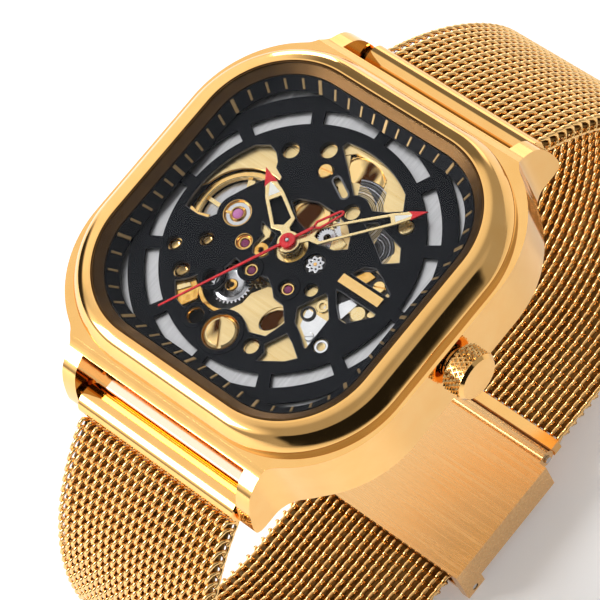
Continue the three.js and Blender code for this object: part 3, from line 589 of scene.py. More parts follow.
def square_outline(extra_x, extra_y, per_corner=36):
    """The crystal opening's outline, moved outwards."""
    half_x, half_y = OPENING + extra_x, OPENING + extra_y
    r = OPENING_CORNER + (extra_x + extra_y) / 2
    points = []
    for sx, sy, start in ((1, 1, 0), (-1, 1, 90), (-1, -1, 180), (1, -1, 270)):
        points += arc(sx * (half_x - r), sy * (half_y - r), r, start, start + 90, per_corner)
    return points


def square_ring(name, sections, material, degrees=28):
    """A ring through outlines of the crystal opening, each [extra x, extra y, z]."""
    verts = [to_metres(x, y, z) for ex, ey, z in sections for x, y in square_outline(ex, ey)]
    count = len(verts) // len(sections)
    faces = grid_faces(len(sections), count, True)
    return finished(new_object(name, verts, faces, material), degrees)


def make_bezel():
    crown_line = smooth_through(
        [(3.07, 2.52, 0.12), (3.02, 2.49, 0.36), (2.62, 2.2, 0.98), (1.95, 1.7, 1.78),
         (1.3, 1.15, 2.12), (0.42, 0.42, 2.33)], 5)
    foot = [(3.0, 2.5, -0.93), (3.0, 2.5, -0.3), (3.03, 2.51, -0.1)]
    inside = [(0.28, 0.28, 2.33), (0.22, 0.22, 2.16), (0.1, 0.1, 2.1), (-0.88, -0.88, 1.5),
              (-0.9, -0.9, 0.95), (-0.4, -0.4, 0.85), (-0.4, -0.4, -0.9)]
    ring_obj = square_ring("bezel_ring", foot + crown_line + inside, GOLD, 40)
    ring_obj.data.materials.append(WALL_GOLD)
    ring_obj.data.materials.append(FLOOR_REFLECTION_GOLD)
    for face in ring_obj.data.polygons:
        height = face.center.z / MM - DIAL_TOP
        outward = face.normal.x * face.center.x + face.normal.y * face.center.y
        # Inner wall faces below the top take the dark gold of painted shade.
        if outward < 0 and height < 2.1:
            face.material_index = 1
        # Low outer faces take the gold with the floor's painted reflection.
        elif outward > 0 and height < 0.1:
            face.material_index = 2
    place(ring_obj, "head", "gold_steel", "bezel")
    # A dark hairline of painted shade along the bezel's inner edge.
    lip = square_ring("bezel_lip", [(0.18, 0.18, 2.14), (0.18, 0.18, 2.3), (0.04, 0.04, 2.3),
                                    (0.04, 0.04, 2.14)], WALL_GOLD)
    place(lip, "head", "gold_steel")


def make_crystal():
    """A flat pane with a bevelled edge."""
    outline, inset_outline = square_outline(0, 0), square_outline(-0.14, -0.14)
    levels = [(outline, 2.15), (outline, 2.36), (inset_outline, 2.5)]
    verts = [to_metres(x, y, z) for points, z in levels for x, y in points]
    faces = tube_faces(0, len(levels), len(outline))
    place(finished(new_object("crystal_glass", verts, faces, GLASS), 20), "head", "glass", "crystal")


def square_reach(half, corner, x, y):
    """How far the ray from the middle along the unit vector (x, y) stays in a rounded square."""
    c = half - corner
    ax, ay = abs(x), abs(y)
    reach = half / max(ax, ay)
    if ax * reach > c and ay * reach > c:
        b = c * (ax + ay)
        reach = b + math.sqrt(b * b - (2 * c * c - corner * corner))
    return reach


FLANGE_LOW, FLANGE_HIGH = (-2.15, 0.35), (-1.0, 1.45)  # how far outwards from the opening, and height


def on_flange(extra, angle):
    """The point on the flange's slope that far outwards from the opening's outline."""
    x, y = math.cos(angle), math.sin(angle)
    reach = square_reach(OPENING + extra, OPENING_CORNER + extra, x, y)
    share = (extra - FLANGE_LOW[0]) / (FLANGE_HIGH[0] - FLANGE_LOW[0])
    return Vector((x * reach, y * reach, FLANGE_LOW[1] + share * (FLANGE_HIGH[1] - FLANGE_LOW[1])))


def make_flange():
    base_z = 0.15
    (low, low_z), (high, high_z) = FLANGE_LOW, FLANGE_HIGH
    sections = [(high, high, base_z), (high, high, high_z), (low, low, low_z), (low, low, base_z)]
    place(square_ring("flange_slope", sections, DIAL_BLACK), "head", "dial_black", "flange_ring")
    verts, faces = [], []
    for minute in range(60):
        angle = math.pi / 2 - 2 * math.pi * minute / 60
        inner, outer, half_width = (-2.12, -1.08, 0.2) if minute % 5 == 0 else (-2.0, -1.2, 0.13)
        side = Vector((-math.sin(angle), math.cos(angle), 0)) * half_width
        ends = [on_flange(extra, angle) for extra in (inner, outer)]
        out = (ends[1] - ends[0]).cross(side).normalized()
        if out.z < 0:
            out = -out
        base = len(verts)
        for lift, shrink in ((-0.03, 1.0), (0.05, 1.0), (0.09, 0.75)):
            for p, s in ((0, -1), (0, 1), (1, 1), (1, -1)):
                verts.append(to_metres(*(ends[p] + side * s * shrink + out * lift)))
        faces += tube_faces(base, 3, 4)
    marks = new_object("minute_marks", verts, faces, MARK_GOLD, smooth=False)
    fix_normals(marks)
    place(marks, "head", "pale_gold")


# ---------------------------------------------------------------- dial
DIAL_RADIUS, DIAL_HALF, DIAL_CORNER, DIAL_THICK = 17.2, 16.3, 8.9, 0.4
BALANCE_AT, ESCAPE_AT = (-7.34, -0.14), (-4.6, -2.22)
FOURTH_AT, THIRD_AT = (-1.96, -4.16), (2.69, -3.75)


def dial_outline():
    """A circle of the dial's radius whose sides are trimmed to the rounded square."""
    points = []
    for x, y in circle(0, 0, 1, 240):
        reach = min(square_reach(DIAL_HALF, DIAL_CORNER, x, y), DIAL_RADIUS)
        points.append((x * reach, y * reach))
    return points


def hour_slot(hour):
    """An arc-shaped slot in the middle of each hour."""
    inner, outer, half_angle = 13.95, 15.45, 12.25
    middle = 90 - 30 * (hour + 0.5)
    return (arc(0, 0, outer, middle - half_angle, middle + half_angle, 16)
            + arc(0, 0, inner, middle + half_angle, middle - half_angle, 16))


WINDOWS = {
    "balance": arc(0, 0, 12.95, 191, 148, 10) + [
        (-9.6, 7.7), (-8.5, 7.4), (-7.6, 6.6), (-7.3, 6.0), (-6.1, 5.5), (-6.0, 5.1), (-7.5, 4.2),
        (-8.4, 2.7)] + arc(*BALANCE_AT, 2.2, 150, 215, 6) + [(-9.7, -2.2), (-10.9, -2.5)],
    "barrel": arc(0, 0, 12.5, 103, 60, 10) + [(7.3, 9.2), (5.9, 8.2), (4.5, 7.5)]
    + arc(2.8, 6.3, 1.9, 60, 125, 6) + [(-0.5, 9.6), (-3.0, 11.5)],
    "escapement": [(-8.0, -9.4), (-6.9, -8.4), (-6.2, -7.4)] + arc(-4.8, -7.1, 1.3, 200, 365, 8)
    + [(-4.5, -5.4), (-4.2, -4.0), (-3.4, -4.1)] + arc(*FOURTH_AT, 1.15, 215, 360, 8)
    + [(0.2, -3.9), (1.4, -4.6), (2.2, -5.3), (3.6, -5.4), (5.0, -6.8), (4.7, -7.8), (4.3, -9.0),
       (2.5, -9.6)]
    + arc(0.1, -11.2, 2.6, 50, 150, 8) + arc(-3.4, -11.2, 1.25, 60, 180, 6)
    + [(-5.4, -11.2), (-6.6, -10.9)],
    "upper_right": [
        (4.7, 6.0), (5.8, 6.9), (7.5, 6.5), (9.7, 6.0), (10.7, 4.6), (9.2, 3.5), (7.2, 4.7)],
    "centre": [
        (-3.5, 3.9), (-3.0, 4.6), (-0.9, 5.4), (1.5, 5.4), (3.4, 5.0), (4.6, 4.0), (5.2, 2.9),
        (4.0, 2.0), (2.3, 1.7), (0.8, 2.1), (-1.4, 2.5)],
    "centre_left": [
        (-4.6, 0.6), (-4.1, -0.2), (-3.5, -0.5), (-3.6, -2.0), (-3.1, -2.7), (-1.8, -2.7),
        (-1.4, -2.0), (-2.0, -1.3), (-2.2, 0.2)],
    "lower_right": [
        (4.7, -9.7), (5.9, -7.5), (7.1, -8.0), (8.7, -9.0), (7.8, -10.0), (5.2, -11.6),
        (5.3, -10.4)],
    "silver": [
        (4.9, -4.8), (5.4, -3.8), (6.4, -2.0), (6.8, -2.1), (8.6, -4.0), (8.7, -7.8), (8.4, -7.8),
        (7.1, -6.9), (5.8, -6.2)],
    "below_bar": [
        (7.0, -1.1), (7.5, -1.0), (12.3, -1.0), (12.3, -1.4), (10.3, -3.5), (9.4, -3.5),
        (8.2, -2.5)],
    "above_bar": [(7.2, 1.0), (7.9, 2.4), (9.0, 2.9), (10.3, 2.4), (12.2, 1.4), (12.2, 1.0)],
}
OBLONG = ((-0.84, 8.24), (0.91, 7.37), 0.42)  # a gold-lined oblong hole: its ends and radius
# Round holes: centre, radius, and what lines it: a gold edge, a gold cup, a gold edge in a raised
# black collar (black), the same round an open well, or none.
HOLES = [
    (BALANCE_AT, 1.4, "gold"), (THIRD_AT, 0.80, "black"), (FOURTH_AT, 0.78, "black"),
    (ESCAPE_AT, 0.80, "gold"), ((3.36, -0.14), 1.15, "none"), ((0.07, -11.2), 1.9, "well"),
    ((-2.58, 8.44), 0.86, "none"), ((8.7, 7.98), 0.86, "none"), ((-7.33, 8.32), 0.92, "cup"),
    ((-3.89, 10.44), 0.92, "cup"), ((2.81, 6.32), 0.86, "cup"), ((-10.8, -6.28), 0.80, "cup"),
    ((-8.23, -4.06), 0.82, "cup"), ((-8.21, -8.11), 0.92, "cup"), ((-4.79, -7.07), 0.85, "black"),
    ((4.92, -2.57), 0.72, "none"), ((-3.39, -11.2), 0.85, "well"), ((3.71, -10.6), 0.86, "cup"),
    ((9.74, -6.69), 0.82, "none"), ((0, 0), 1.75, "none"),
]


def oblong_outline(grow=0.0, steps=10):
    (x0, y0), (x1, y1), r = OBLONG
    angle = math.degrees(math.atan2(y1 - y0, x1 - x0))
    r += grow
    return (arc(x1, y1, r, angle - 90, angle + 90, steps)
            + arc(x0, y0, r, angle + 90, angle + 270, steps))


def make_dial():
    outlines = [dial_outline()] + [hour_slot(h) for h in range(12)] + list(WINDOWS.values())
    outlines += [circle(*at, r, 36) for at, r, _ in HOLES] + [oblong_outline()]
    face = flat_shape("dial_face", outlines, -DIAL_THICK, 0, DIAL_BLACK, edge=0.09)
    place(face, "head", "dial_black", "dial_plate")
    gold, black = [], []
    for at, r, lining in HOLES:
        if lining == "cup":
            profile = [-0.95, (r * 0.45, -0.9), (r * 0.8, -0.72), (r * 0.9, -0.56),
                       (r + 0.02, -0.54), (r + 0.02, -1.0), -1.0]
            # The cup's gold carries painted reflections.
            gold.append(revolved("cup", profile, PAINTED_REFLECTION_GOLD, at, 36))
            black.append(ring("sleeve", at, r + 0.03, r + 0.16, -0.9, -0.36, DIAL_BLACK, 0.02, 36))
        elif lining in ("gold", "well"):
            profile = [(r - 0.12, -0.3), (r, -0.08), (r + 0.06, 0.012), (r + 0.12, 0.0),
                       (r + 0.12, -0.05), (r + 0.02, -0.14), (r - 0.12, -0.38)]
            gold.append(revolved("lining", profile, TRIM_GOLD, at, 36))
        if lining in ("black", "well"):
            black.append(ring("collar", at, r + 0.08, r + 0.62, -0.02, 0.13, DIAL_BLACK, 0.07))
    show("hole_linings", "pale_gold", *gold)
    show("jewel_collars", "dial_black", *black)
    slot_lining = flat_shape("slot_lining", [oblong_outline(0.14), oblong_outline(-0.06)], -0.3,
                             0.02, EDGE_GREY, edge=0.03)
    place(slot_lining, "head", "pale_gold")
    # A fine bright line round each window, where the plate's cut edge catches the light.
    for window, points in WINDOWS.items():
        edges = [points, inset(points, 0.05)]
        rim = flat_shape(f"window_rim_{window}", edges, -0.42, -0.1, EDGE_GREY)
        place(rim, "head", "dial_black")


def inset(points, distance):
    """The outline moved inwards by a distance; either winding."""
    area = sum(x0 * y1 - x1 * y0 for (x0, y0), (x1, y1) in zip(points, points[1:] + points[:1]))
    sign = 1 if area > 0 else -1
    out = []
    count = len(points)
    for i in range(count):
        before, at, after = (Vector(points[(i + k) % count]) for k in (-1, 0, 1))
        a, b = (at - before).normalized(), (after - at).normalized()
        na, nb = Vector((-a.y, a.x)) * sign, Vector((-b.y, b.x)) * sign
        mid = (na + nb).normalized()
        scale = distance / max(mid.dot(na), 0.5)
        out.append(tuple(at + mid * scale))
    return out


def toothed(at, tip, teeth, z0, z1, material, bore):
    """A gear with flat-topped teeth."""
    root = tip - min(0.26, 0.16 * tip)
    points = []
    step = 360 / teeth
    for i in range(teeth):
        for r, off in ((root, -0.32), (tip, -0.14), (tip, 0.14), (root, 0.32)):
            points += turn_points([(r, 0)], (i + off) * step, at)
    return flat_shape("gear", [points, circle(*at, bore, 24)], z0, z1, material)


def slotted_screw(name, at, radius, top, material, angle, slot_half=None):
    """A polished screw head with a bevelled rim and a slot."""
    edge = radius * 0.12
    profile = [top - 0.5, (radius, top - 0.5), (radius, top - edge), (radius - edge, top),
               top]
    head = revolved(name, profile, material, at, 40)
    half, end = slot_half or radius * 0.13, radius + 1
    slot = turn_points([(-end, -half), (end, -half), (end, half), (-end, half)], angle, at)
    boolean(head, flat_shape("slot", [slot], top - 0.22, top + 0.5, DARK_STEEL))
    return finished(head, 25)


def plate(points, z0, z1, material, edge=0.06):
    return flat_shape("plate", [points], z0, z1, material, edge)


def sector(at, inner, outer, z0, z1, material, start, end):
    points = arc(*at, outer, start, end, 24) + arc(*at, inner, end, start, 24)
    return plate(points, z0, z1, material, 0.02)


def fine_rings(at, inner, outer, count, z, start, end):
    """Concentric dark and bright rings on a dark bed, like the turned edge of a barrel."""
    step = (outer - inner) / count
    finishes = (DARK_STEEL, EDGE_GREY, DARK_STEEL, BLUED)
    rings = [sector(at, inner - 0.4, outer + 0.04, z - 0.3, z - 0.06, DARK_STEEL, start, end)]
    for i in range(count):
        r = inner + i * step
        rings.append(sector(at, r, r + 0.62 * step, z - 0.12, z, finishes[i % 4], start, end))
    return rings


def make_balance_view():
    """Inside the large window at 9 to 11 o'clock, round the balance wheel."""
    cock = arc(0, 0, 13.2, 178, 108, 18) + arc(*BALANCE_AT, 5.45, 52, 168, 18)
    show("balance_cock_plate", "gilt_brass", plate(cock, -0.95, -0.62, GILT, 0.08))
    profile = [(2.2, -2.2), (4.55, -2.2), (4.55, -1.9), (3.9, -1.78), (3.2, -1.95), (2.2, -1.9)]
    show("balance_bowl", "steel", revolved("bowl", profile, SILVER, BALANCE_AT, 64),
         ring("band", BALANCE_AT, 5.35, 5.9, -1.9, -1.75, AMBER, 0.04, 64))
    rim = ring("balance_rim", BALANCE_AT, 4.68, 5.32, -1.72, -1.1, TRIM_GOLD, 0.1, 72)
    place(rim, "balance", "pale_gold")
    lever = [(-8.9, 3.5), (-8.35, 3.75), (-7.4, 2.3), (-7.25, 1.75), (-8.2, 1.7), (-8.3, 1.95),
             (-7.95, 2.1)]
    foot = [(-12.6, -1.9), (-11.3, -2.1), (-10.0, -1.7), (-9.9, -2.9), (-12.0, -3.2)]
    show("regulator_lever", "gilt_brass", plate(lever, -0.5, -0.34, PALE_GOLD, 0.05),
         plate(foot, -0.7, -0.5, TRIM_GOLD, 0.08))


def make_barrel_view():
    """Inside the window at 12 to 2 o'clock and the small one at 3 o'clock."""
    show("barrel_rings", "steel", *fine_rings((2.81, 6.32), 2.0, 4.0, 12, -0.56, -20, 118))
    at = (0.7, 9.9)
    drum = [-1.5, (2.55, -1.5), (2.55, -0.9), (2.3, -0.72), (1.7, -0.66), (1.0, -0.8), -0.85]
    # The drum's polished gold carries painted reflections.
    show("ratchet_wheel", "gilt_brass", toothed(at, 2.9, 44, -1.0, -0.88, TRIM_GOLD, 1.6),
         revolved("drum", drum, PAINTED_REFLECTION_GOLD, at, 64))
    cover = arc(0, 0, 12.9, 108, 42, 16)
    cover += [(6.3, 7.6), (4.9, 8.6), (4.2, 10.0), (3.2, 11.2), (1.4, 12.0), (-1.2, 11.9),
              (-2.3, 11.0), (-2.0, 9.6), (-3.4, 10.6)]
    show("cover", "gilt_brass", plate(cover, -0.66, -0.5, GILT))
    show("ring_stack", "steel", *fine_rings((7.0, 4.2), 0.9, 2.4, 10, -0.43, -100, 100))
    side = [(8.6, 7.0), (11.2, 5.2), (10.0, 3.0), (8.6, 3.6), (9.3, 5.2)]
    show("plate", "gilt_brass", plate(side, -0.6, -0.45, GILT))


def make_centre_view():
    """Inside the windows round the centre."""
    at = (-0.9, 3.7)
    dome = [-1.3, (2.5, -1.3), (2.5, -0.85), (2.2, -0.75), (2.15, -0.52), (1.6, -0.44),
            (1.5, -0.62), (0.9, -0.66), -0.6]
    block = [(3.3, 1.9), (4.4, 2.3), (4.5, 3.4), (3.6, 3.7), (2.9, 3.0)]
    # The dome's polished gold carries painted reflections.
    show("centre_parts", "gilt_brass", revolved("dome", dome, PAINTED_REFLECTION_GOLD, at, 56),
         toothed(at, 2.9, 48, -1.05, -0.9, PALE_GOLD, 2.3),
         plate(block, -0.8, -0.42, PALE_GOLD, 0.1),
         toothed((2.2, 2.9), 1.0, 22, -0.75, -0.55, STEEL, 0.4))
    pad = [(-4.5, 1.0), (-3.4, 0.9), (-2.9, -0.3), (-3.3, -1.4), (-4.6, -0.9)]
    show("centre_left_parts", "gilt_brass", plate(pad, -0.62, -0.45, PALE_GOLD, 0.07),
         ring("cap", (-2.7, -1.9), 0.25, 0.85, -0.6, -0.4, AMBER, 0.08))
    # A flower of eight petals: the spring that holds the centre's shock setting.
    x, y = at = (3.36, -0.14)
    around = [2 * math.pi * i / 64 for i in range(64)]
    petals = []
    for a in around:
        r = 0.86 + 0.12 * math.cos(8 * a)
        petals.append((x + r * math.cos(a), y + r * math.sin(a)))
    holes = [circle(x + 0.55 * math.cos(a), y + 0.55 * math.sin(a), 0.1, 10) for a in around[::8]]
    flower = flat_shape("flower", [petals, circle(x, y, 0.16, 16)] + holes, -0.3, -0.14, STEEL, 0.03)
    show("shock_setting", "steel", flower, disc("bed", at, 1.15, -0.5, -0.34, DARK_STEEL),
         disc("eye", at, 0.2, -0.3, -0.1, TRIM_GOLD, 0.03, 20))


def make_escapement_view():
    """Inside the windows between 5 and 8 o'clock."""
    amber = [(-8.6, -9.9), (-7.9, -8.9), (-6.5, -7.9), (-5.4, -8.6), (-4.8, -9.6), (-5.8, -11.3),
             (-7.0, -11.3)]
    ridge = [(-7.6, -9.7), (-6.6, -8.6), (-6.2, -8.9), (-7.2, -10.1)]
    at = (-3.0, -6.4)
    rail = arc(*at, 3.4, 215, 300, 12) + arc(*at, 2.9, 300, 215, 12)
    show("amber_parts", "gilt_brass", plate(amber, -0.9, -0.5, AMBER, 0.1),
         plate(ridge, -0.5, -0.36, PALE_GOLD), plate(rail, -0.8, -0.5, AMBER, 0.08))
    bowl = [(0.7, -1.2), (1.8, -1.2), (1.8, -0.8), (1.55, -0.68), (1.2, -0.85), (0.7, -0.95)]
    show("escapement_cap", "steel", toothed(at, 2.15, 30, -0.95, -0.82, STEEL, 1.75),
         revolved("bowl", bowl, STEEL, at), ring("inner", at, 0.25, 0.65, -1.1, -0.85, AMBER, 0.06))
    at = (3.45, -7.0)
    oval = turn_points([(1.02 * x, 1.62 * y) for x, y in circle(0, 0, 1)], -18, at)
    bridge = [(-0.4, -6.1), (0.6, -4.6), (1.6, -4.2), (3.6, -4.8), (5.2, -6.6), (4.9, -9.4),
              (1.6, -10.2), (-0.6, -9.3)]
    wheel = [-1.1, (1.5, -1.1), (1.5, -0.8), (1.1, -0.72), (0.5, -0.85), -0.85]
    # The wheel's polished gold carries painted reflections.
    show("escapement_plate", "gilt_brass",
         flat_shape("bridge", [bridge, oval], -0.66, -0.5, GILT, 0.06),
         revolved("wheel", wheel, PAINTED_REFLECTION_GOLD, at, 40))
    pie = [(4.4, -9.9), (5.8, -7.2), (9.0, -8.6), (7.6, -10.6), (5.1, -12.0)]
    show("pie", "gilt_brass", plate(pie, -0.66, -0.5, GILT))


def make_setting_view():
    """Inside the silver window and the two beside the bar at 3 o'clock."""
    sheet = [(4.7, -5.0), (6.4, -1.8), (7.0, -2.0), (9.0, -4.0), (9.1, -8.2), (5.7, -6.4)]
    show("silver_parts", "steel", plate(sheet, -0.8, -0.62, MIRROR, 0.05),
         ring("hook", (9.74, -6.69), 0.42, 0.75, -0.6, -0.3, MIRROR, 0.06),
         ring("ring", (6.1, -4.6), 0.55, 0.8, -0.6, -0.42, DARK_STEEL, 0.05),
         slotted_screw("screw", (7.9, -6.5), 0.5, -0.42, MIRROR, 35),
         ring("ring", (6.9, -3.2), 0.3, 0.75, -0.6, -0.42, PALE_GOLD, 0.08))
    bed = [(6.7, -3.8), (12.7, -3.8), (12.7, 3.2), (6.7, 3.2)]
    bright = [(7.6, -2.9), (8.8, -1.0), (9.8, -1.1), (9.4, -3.3)]
    amber = [(7.4, 1.1), (8.2, 2.4), (9.4, 2.2), (9.0, 1.0)]
    gilt = [(11.2, -1.6), (12.4, -1.4), (12.4, 1.3), (11.5, 1.5)]
    # The second screw's gold carries painted reflections.
    show("keyless_parts", "steel", plate(bed, -1.0, -0.8, DARK_STEEL, 0.04),
         plate(bright, -0.75, -0.5, MIRROR),
         disc("wheel", (10.5, -1.9), 0.95, -0.75, -0.44, PALE_GOLD, 0.2),
         plate(amber, -0.75, -0.5, AMBER, 0.08),
         slotted_screw("screw", (10.4, 1.5), 0.7, -0.45, PAINTED_REFLECTION_GOLD, 20),
         plate(gilt, -0.8, -0.6, GILT))


def make_screws_and_jewels():
    at = (0.07, -11.2)
    bridge_screw = slotted_screw("bridge_screw_head", at, 1.75, 0.12, GILT, -55)
    place(bridge_screw, "head", "pale_gold", "bridge_screw_large")
    # A crescent of painted shade over the large screw's head, in the gold with painted reflections.
    show("screw_shade", "pale_gold", plate(arc(*at, 1.42, 132, 298, 20), 0.08, 0.14, PAINTED_REFLECTION_GOLD, 0.02))
    for hour, at, radius, material, angle, slot_half in (
        (12, (-2.58, 8.44), 0.8, TRIM_GOLD, 8, 0.13), (2, (8.7, 7.98), 0.78, PALE_GOLD, 70, 0.05),
    ):
        screw = slotted_screw(f"dial_screw_head_{hour}", at, radius, 0.08, material, angle, slot_half)
        place(screw, "head", "pale_gold", f"dial_screw_{hour}")
    # Each jewel: centre, radius of the stone and of its setting, and how much higher it stands.
    for name, at, r, outer, lift, finish in (
        ("balance", BALANCE_AT, 0.57, 0.8, 0.25, PINK_RUBY),
        ("third", THIRD_AT, 0.42, 0.74, 0.0, RUBY),
        ("fourth", FOURTH_AT, 0.42, 0.74, 0.0, RUBY),
        ("escape", ESCAPE_AT, 0.45, 0.74, 0.0, RUBY),
    ):
        profile = [lift - 0.36, (r * 0.6, lift - 0.33), (r * 0.9, lift - 0.37),
                   (r, lift - 0.45), (r, -0.6), -0.6]
        stone = revolved(f"ruby_{name}", profile, finish, at, 36)
        place(stone, "head", "ruby", f"jewel_{name}")
        parts = [ring("setting", at, r, outer, -0.62, lift - 0.3, TRIM_GOLD, 0.1)]
        if name == "balance":
            parts.append(ring("bed", at, 0.8, 1.36, -0.5, -0.24, STEEL, 0.1))
            arm = turn_points([(-1.36, -0.14), (-0.7, -0.14), (-0.7, 0.14), (-1.36, 0.14)], 20, at)
            parts.append(plate(arm, -0.3, -0.1, TRIM_GOLD, 0.04))
        show(f"jewel_setting_{name}", "pale_gold", *parts)


def make_movement_view():
    """What shows through the dial."""
    make_balance_view()
    make_barrel_view()
    make_centre_view()
    make_escapement_view()
    make_setting_view()
    make_screws_and_jewels()


# ---------------------------------------------------------------- hands
def hand_pieces(name, body, angle, sizes, bore, z0, z1, replaced):
    """A skeleton hand: a neck that forks into two rails, a white triangle and a red arrow tip."""
    length, base, base_half, bend, bend_half, tip, tip_half, rail, hub, neck = sizes
    outline = [(-neck, hub * 0.8), (-neck, base - 0.75), (-base_half, base), (-bend_half, bend),
               (-tip_half, tip), (0, length), (tip_half, tip), (bend_half, bend), (base_half, base),
               (neck, base - 0.75), (neck, hub * 0.8), (neck, -hub * 0.8), (-neck, -hub * 0.8)]
    cross = bend + 0.1
    near, far = base_half - rail * 1.1, bend_half - rail
    window = [(0, base - 0.2), (-near, base + 0.25), (-far, bend - 0.35), (far, bend - 0.35),
              (near, base + 0.25)]
    lume_top = tip + 0.25
    white = [(-far * 0.95, cross), (-0.05, lume_top), (0.05, lume_top), (far * 0.95, cross)]

    def turn(points):
        return turn_points(points, angle)

    blade = flat_shape(name, [turn(outline), turn(window), turn(white)], z0, z1, PALE_GOLD, 0.05)
    collar = ring("hub", (0, 0), bore, hub, z0, z1 + 0.03, PALE_GOLD, 0.05)
    place(join(name, [blade, collar]), body, "pale_gold", replaced)
    lume = flat_shape(f"{name}_lume", [turn(white)], z0 + 0.02, z1 - 0.01, LUME)
    place(lume, body, "pale_gold")
    arrow = [(-tip_half - 0.05, tip), (0, length + 0.05), (tip_half + 0.05, tip), (0, tip + 0.28)]
    red = flat_shape(f"{name}_tip", [turn(arrow)], z0 - 0.01, z1 + 0.03, RED, edge=0.02)
    place(red, body, "red_paint")


# Length, then distance from the centre and half width at the fork, at the bend and at the red tip,
# then the width of a rail, the radius of the hub and the half width of the neck.
HOUR_SIZES = (9.4, 2.5, 1.3, 6.0, 1.02, 7.35, 0.66, 0.36, 1.3, 0.5)
MINUTE_SIZES = (14.35, 2.9, 1.0, 10.9, 0.66, 12.5, 0.44, 0.28, 1.2, 0.42)


def make_hands():
    hand_pieces("hour_skeleton", "hour", 56, HOUR_SIZES, 1.0, 0.45, 0.65, "hour_hand")
    hand_pieces("minute_skeleton", "minute", -44.5, MINUTE_SIZES, 0.75, 0.85, 1.02, "minute_hand")
    z0, z1, angle = 1.18, 1.34, 152.5
    loop = [(0, -2.75), (-0.5, -3.4), (-0.34, -6.0), (-0.18, -6.28), (0, -6.35), (0.18, -6.28),
            (0.34, -6.0), (0.5, -3.4)]
    outlines = [[[(-0.16, 0), (0.16, 0), (0.1, 14.4), (-0.1, 14.4)]],
                [[(-0.16, -3.1), (0.16, -3.1), (0.16, 0), (-0.16, 0)]], [loop, inset(loop, 0.22)]]
    parts = [flat_shape("part", [turn_points(points, angle) for points in outline], z0, z1, RED,
                        edge=0.03) for outline in outlines]
    hub = [z0, (0.85, z0), (0.85, z1), (0.78, z1 + 0.1), (0.3, z1 + 0.13), (0.28, z1 + 0.04),
           z1 + 0.04]
    parts.append(revolved("hub", hub, RED))
    place(join("seconds_needle", parts), "seconds", "red_paint", "seconds_hand")
    pin = revolved("seconds_pin", [z1, (0.22, z1), (0.22, z1 + 0.12), (0.15, z1 + 0.2),
                                   z1 + 0.21], STEEL, (0, 0), 24)
    place(pin, "seconds", "steel")


# ---------------------------------------------------------------- crown and end tubes
def zigzag(value):
    """Falls from 1 to 0 and rises again within each whole step."""
    return abs((value % 1) * 2 - 1)


def make_crown():
    """A crown with a diamond knurl between two plain bands."""
    radius, base, face = 2.7, 21.3, 23.9
    across, around = 20, 208
    diamonds, pitch, deep = 26, 0.8, 0.3
    start, end = base + 0.2, face - 0.4
    # Each row: radius, distance along the stem, and how deep its knurl is.
    rows = [(0.9, base + 0.3, 0), (0.9, base, 0), (2.2, base, 0), (2.45, base + 0.05, 0),
            (2.55, base + 0.14, 0)]
    rows += [(radius, start + (end - start) * i / across, deep) for i in range(across + 1)]
    rows += [(2.6, end + 0.02, 0), (2.6, face - 0.34, 0), (2.3, face - 0.02, 0),
             (2.26, face, 0), (1.2, face, 0), (AXIS, face, 0)]
    verts = []
    for r, x, depth in rows:
        for j in range(around):
            a = 2 * math.pi * j / around
            u, v = j * diamonds / around, (x - start) / pitch
            low = r - depth * max(zigzag(u + v), zigzag(u - v))
            verts.append(to_metres(x, low * math.cos(a), CROWN_Z + low * math.sin(a)))
    crown = new_object("crown_knurled", verts, grid_faces(len(rows), around, False), GOLD)
    crown.data.materials.append(MESH_GOLD)
    for knurl in crown.data.polygons:
        knurl.material_index = 1 if start < knurl.center.x / MM < end else 0
    place(finished(crown, 14), "crown", "gold_steel", "crown")


TUBE_RADIUS, TUBE_HALF = 1.72, 11.0


def make_tubes():
    """The round bar at each end of the band."""
    end, round_off = TUBE_HALF - 0.12, TUBE_RADIUS - 0.12
    profile = [(1.05, -TUBE_HALF), (round_off, -TUBE_HALF), (TUBE_RADIUS, -end),
               (TUBE_RADIUS, end), (round_off, TUBE_HALF), (1.05, TUBE_HALF)]
    for half, sign in (("12", 1), ("6", -1)):
        tube = revolved(f"end_piece_{half}", profile, GOLD, (sign * BAR_Y, BAR_Z), 72, axis="x")
        place(tube, f"strap_{half}_upper", "gold_steel", f"end_tube_{half}")


# ---------------------------------------------------------------- woven band
# Each half: heading at its tube in degrees below level, then arcs of (radius, heading at the end).
BEND = {"12": (33, [(38, 60), (24, 90), (24, 120)]), "6": (35.5, [(29, 90), (29, 120)])}
MESH_START, MESH_HALF, MESH_Z = 2.1, 10.7, 3.9
FLAT_END = {"12": 10.8, "6": -0.5}
PITCH_X, PITCH_S, WIRE = 0.972, 1.3, 0.235
COIL_LONG, COIL_HIGH = 0.86, 0.64


def band_line(half):
    """The half's centre line as (distance, y, z, heading), with y outwards and z from the surface."""
    heading, arcs = BEND[half]
    across, down = polar(MESH_START, heading)
    y, z = BAR_Y + across, DIAL_TOP + BAR_Z - down
    drop, at = 0.0, heading
    for r, end in arcs:
        drop += polar(r, at)[0] - polar(r, end)[0]
        at = end
    last = (z - MESH_Z - drop) / (polar(1, at)[0] + 1)
    line, s, at = [], 0.0, heading
    for r, end in arcs + [(last, 180)]:
        steps = max(4, round((end - at) * r / 20))
        ahead, down = polar(r, at)
        for i in range(1 if line else 0, steps + 1):
            a = at + (end - at) * i / steps
            c, d = polar(r, a)
            line.append((s + r * math.radians(a - at), y + d - down, z - ahead + c, a))
        s, y, z, at = line[-1]
    line.append((s + y - FLAT_END[half], FLAT_END[half], z, 180))
    return line


